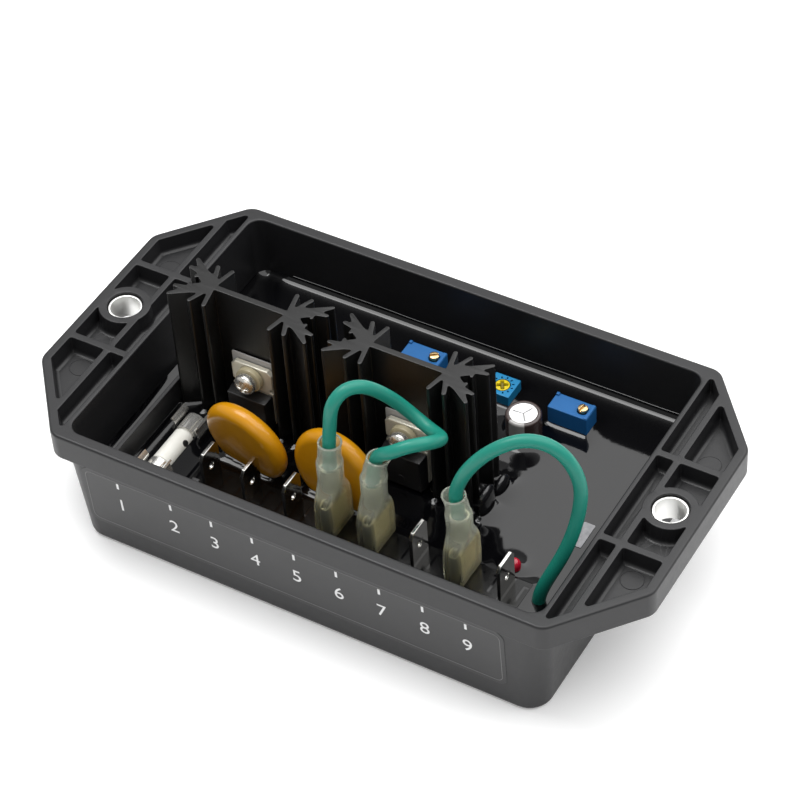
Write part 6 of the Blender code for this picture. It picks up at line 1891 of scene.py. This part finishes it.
class REGULATOR_OT_stage(bpy.types.Operator):
    """Set up the camera, the pale floor and the soft light"""
    bl_idname = "regulator.stage"
    bl_label = "Camera, floor and light"

    def execute(self, context):
        settings = context.scene.regulator_stage
        a, e, r = CAMERA_AZIMUTH, CAMERA_ELEVATION, CAMERA_ROLL
        back = Vector((math.sin(a) * math.cos(e), -math.cos(a) * math.cos(e), math.sin(e)))
        level = Vector((math.cos(a), math.sin(a), 0.0))
        upright = back.cross(level)
        right = level * math.cos(r) + upright * math.sin(r)
        up = upright * math.cos(r) - level * math.sin(r)
        data = bpy.data.cameras.new("camera")
        data.lens = CAMERA_LENS
        data.clip_start = 0.01
        camera = bpy.data.objects.new("camera", data)
        turned = Matrix((right, up, back)).transposed().to_4x4()
        camera.matrix_world = Matrix.Translation(CAMERA_PLACE) @ turned
        context.scene.collection.objects.link(camera)
        context.scene.camera = camera

        size = 6.0
        steps = np.linspace(-size, size, 3)
        across, along = np.meshgrid(steps, steps, indexing="ij")
        skin = Skin().grid(np.stack([across, along, np.full(across.shape, -0.0001)], axis=-1), closed=False)
        mesh = bpy.data.meshes.new("floor")
        mesh.from_pydata(skin.points.tolist(), [], skin.faces)
        finish = Finish("floor paper", settings.floor, 0.6, emission_strength=0.16)
        finish.cloud(shade(settings.floor, 0.99), shade(settings.floor, 1.01), 0.05)
        mesh.materials.append(finish.material)
        floor = bpy.data.objects.new("floor", mesh)
        context.scene.collection.objects.link(floor)
        floor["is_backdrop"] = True

        world = bpy.data.worlds.new("studio")
        world.use_nodes = True
        background = world.node_tree.nodes["Background"]
        background.inputs["Color"].default_value = (1.0, 1.0, 1.0, 1.0)
        background.inputs["Strength"].default_value = settings.sky
        context.scene.world = world
        context.scene.view_settings.view_transform = "Standard"
        add_area("overhead", (0.28, 0.50, 1.25), 2.0, 31.0 * settings.lamp)
        add_area("key", (-0.40, 0.02, 0.92), 0.48, 4.6 * settings.lamp)
        add_area("front", (0.10, -1.30, 0.90), 0.7, 1.4 * settings.lamp)
        return {"FINISHED"}


class REGULATOR_PT_panel(bpy.types.Panel):
    """Lists the settings and the pieces"""
    bl_idname = "REGULATOR_PT_panel"
    bl_label = "Voltage regulator"
    bl_space_type = "VIEW_3D"
    bl_region_type = "UI"
    bl_category = "Regulator"

    def draw(self, context):
        for name, group in SETTINGS.items():
            box = self.layout.box()
            box.label(text=group.__doc__)
            for field in group.__annotations__:
                box.prop(getattr(context.scene, name), field)
        for operator in OPERATORS:
            self.layout.operator(operator.bl_idname)


OPERATORS = (
    REGULATOR_OT_stage,
    REGULATOR_OT_wires,
    REGULATOR_OT_tray,
    REGULATOR_OT_bushes,
    REGULATOR_OT_label,
    REGULATOR_OT_resin,
    REGULATOR_OT_heat_sinks,
    REGULATOR_OT_devices,
    REGULATOR_OT_fuse,
    REGULATOR_OT_varistors,
    REGULATOR_OT_terminals,
    REGULATOR_OT_receptacles,
    REGULATOR_OT_trimmers,
    REGULATOR_OT_capacitor,
    REGULATOR_OT_small_components,
    REGULATOR_OT_board,
)


def register():
    """Register the settings, the operators and the panel."""
    for name, group in SETTINGS.items():
        bpy.utils.register_class(group)
        setattr(bpy.types.Scene, name, bpy.props.PointerProperty(type=group))
    for operator in OPERATORS:
        bpy.utils.register_class(operator)
    bpy.utils.register_class(REGULATOR_PT_panel)


def unregister():
    """Undo what register did."""
    bpy.utils.unregister_class(REGULATOR_PT_panel)
    for operator in reversed(OPERATORS):
        bpy.utils.unregister_class(operator)
    for name, group in reversed(SETTINGS.items()):
        delattr(bpy.types.Scene, name)
        bpy.utils.unregister_class(group)


def main():
    """Build every piece in order, and gather the sizes of the CAD box and the dressed model."""
    register()
    for operator in OPERATORS:
        family, name = operator.bl_idname.split(".")
        getattr(getattr(bpy.ops, family), name)()
    bpy.context.view_layer.update()
    boxes = {"cad": CAD_BOX, "visual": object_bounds()}
    boxes = {name: [[float(number) for number in corner] for corner in box] for name, box in boxes.items()}


if __name__ == "__main__":
    main()
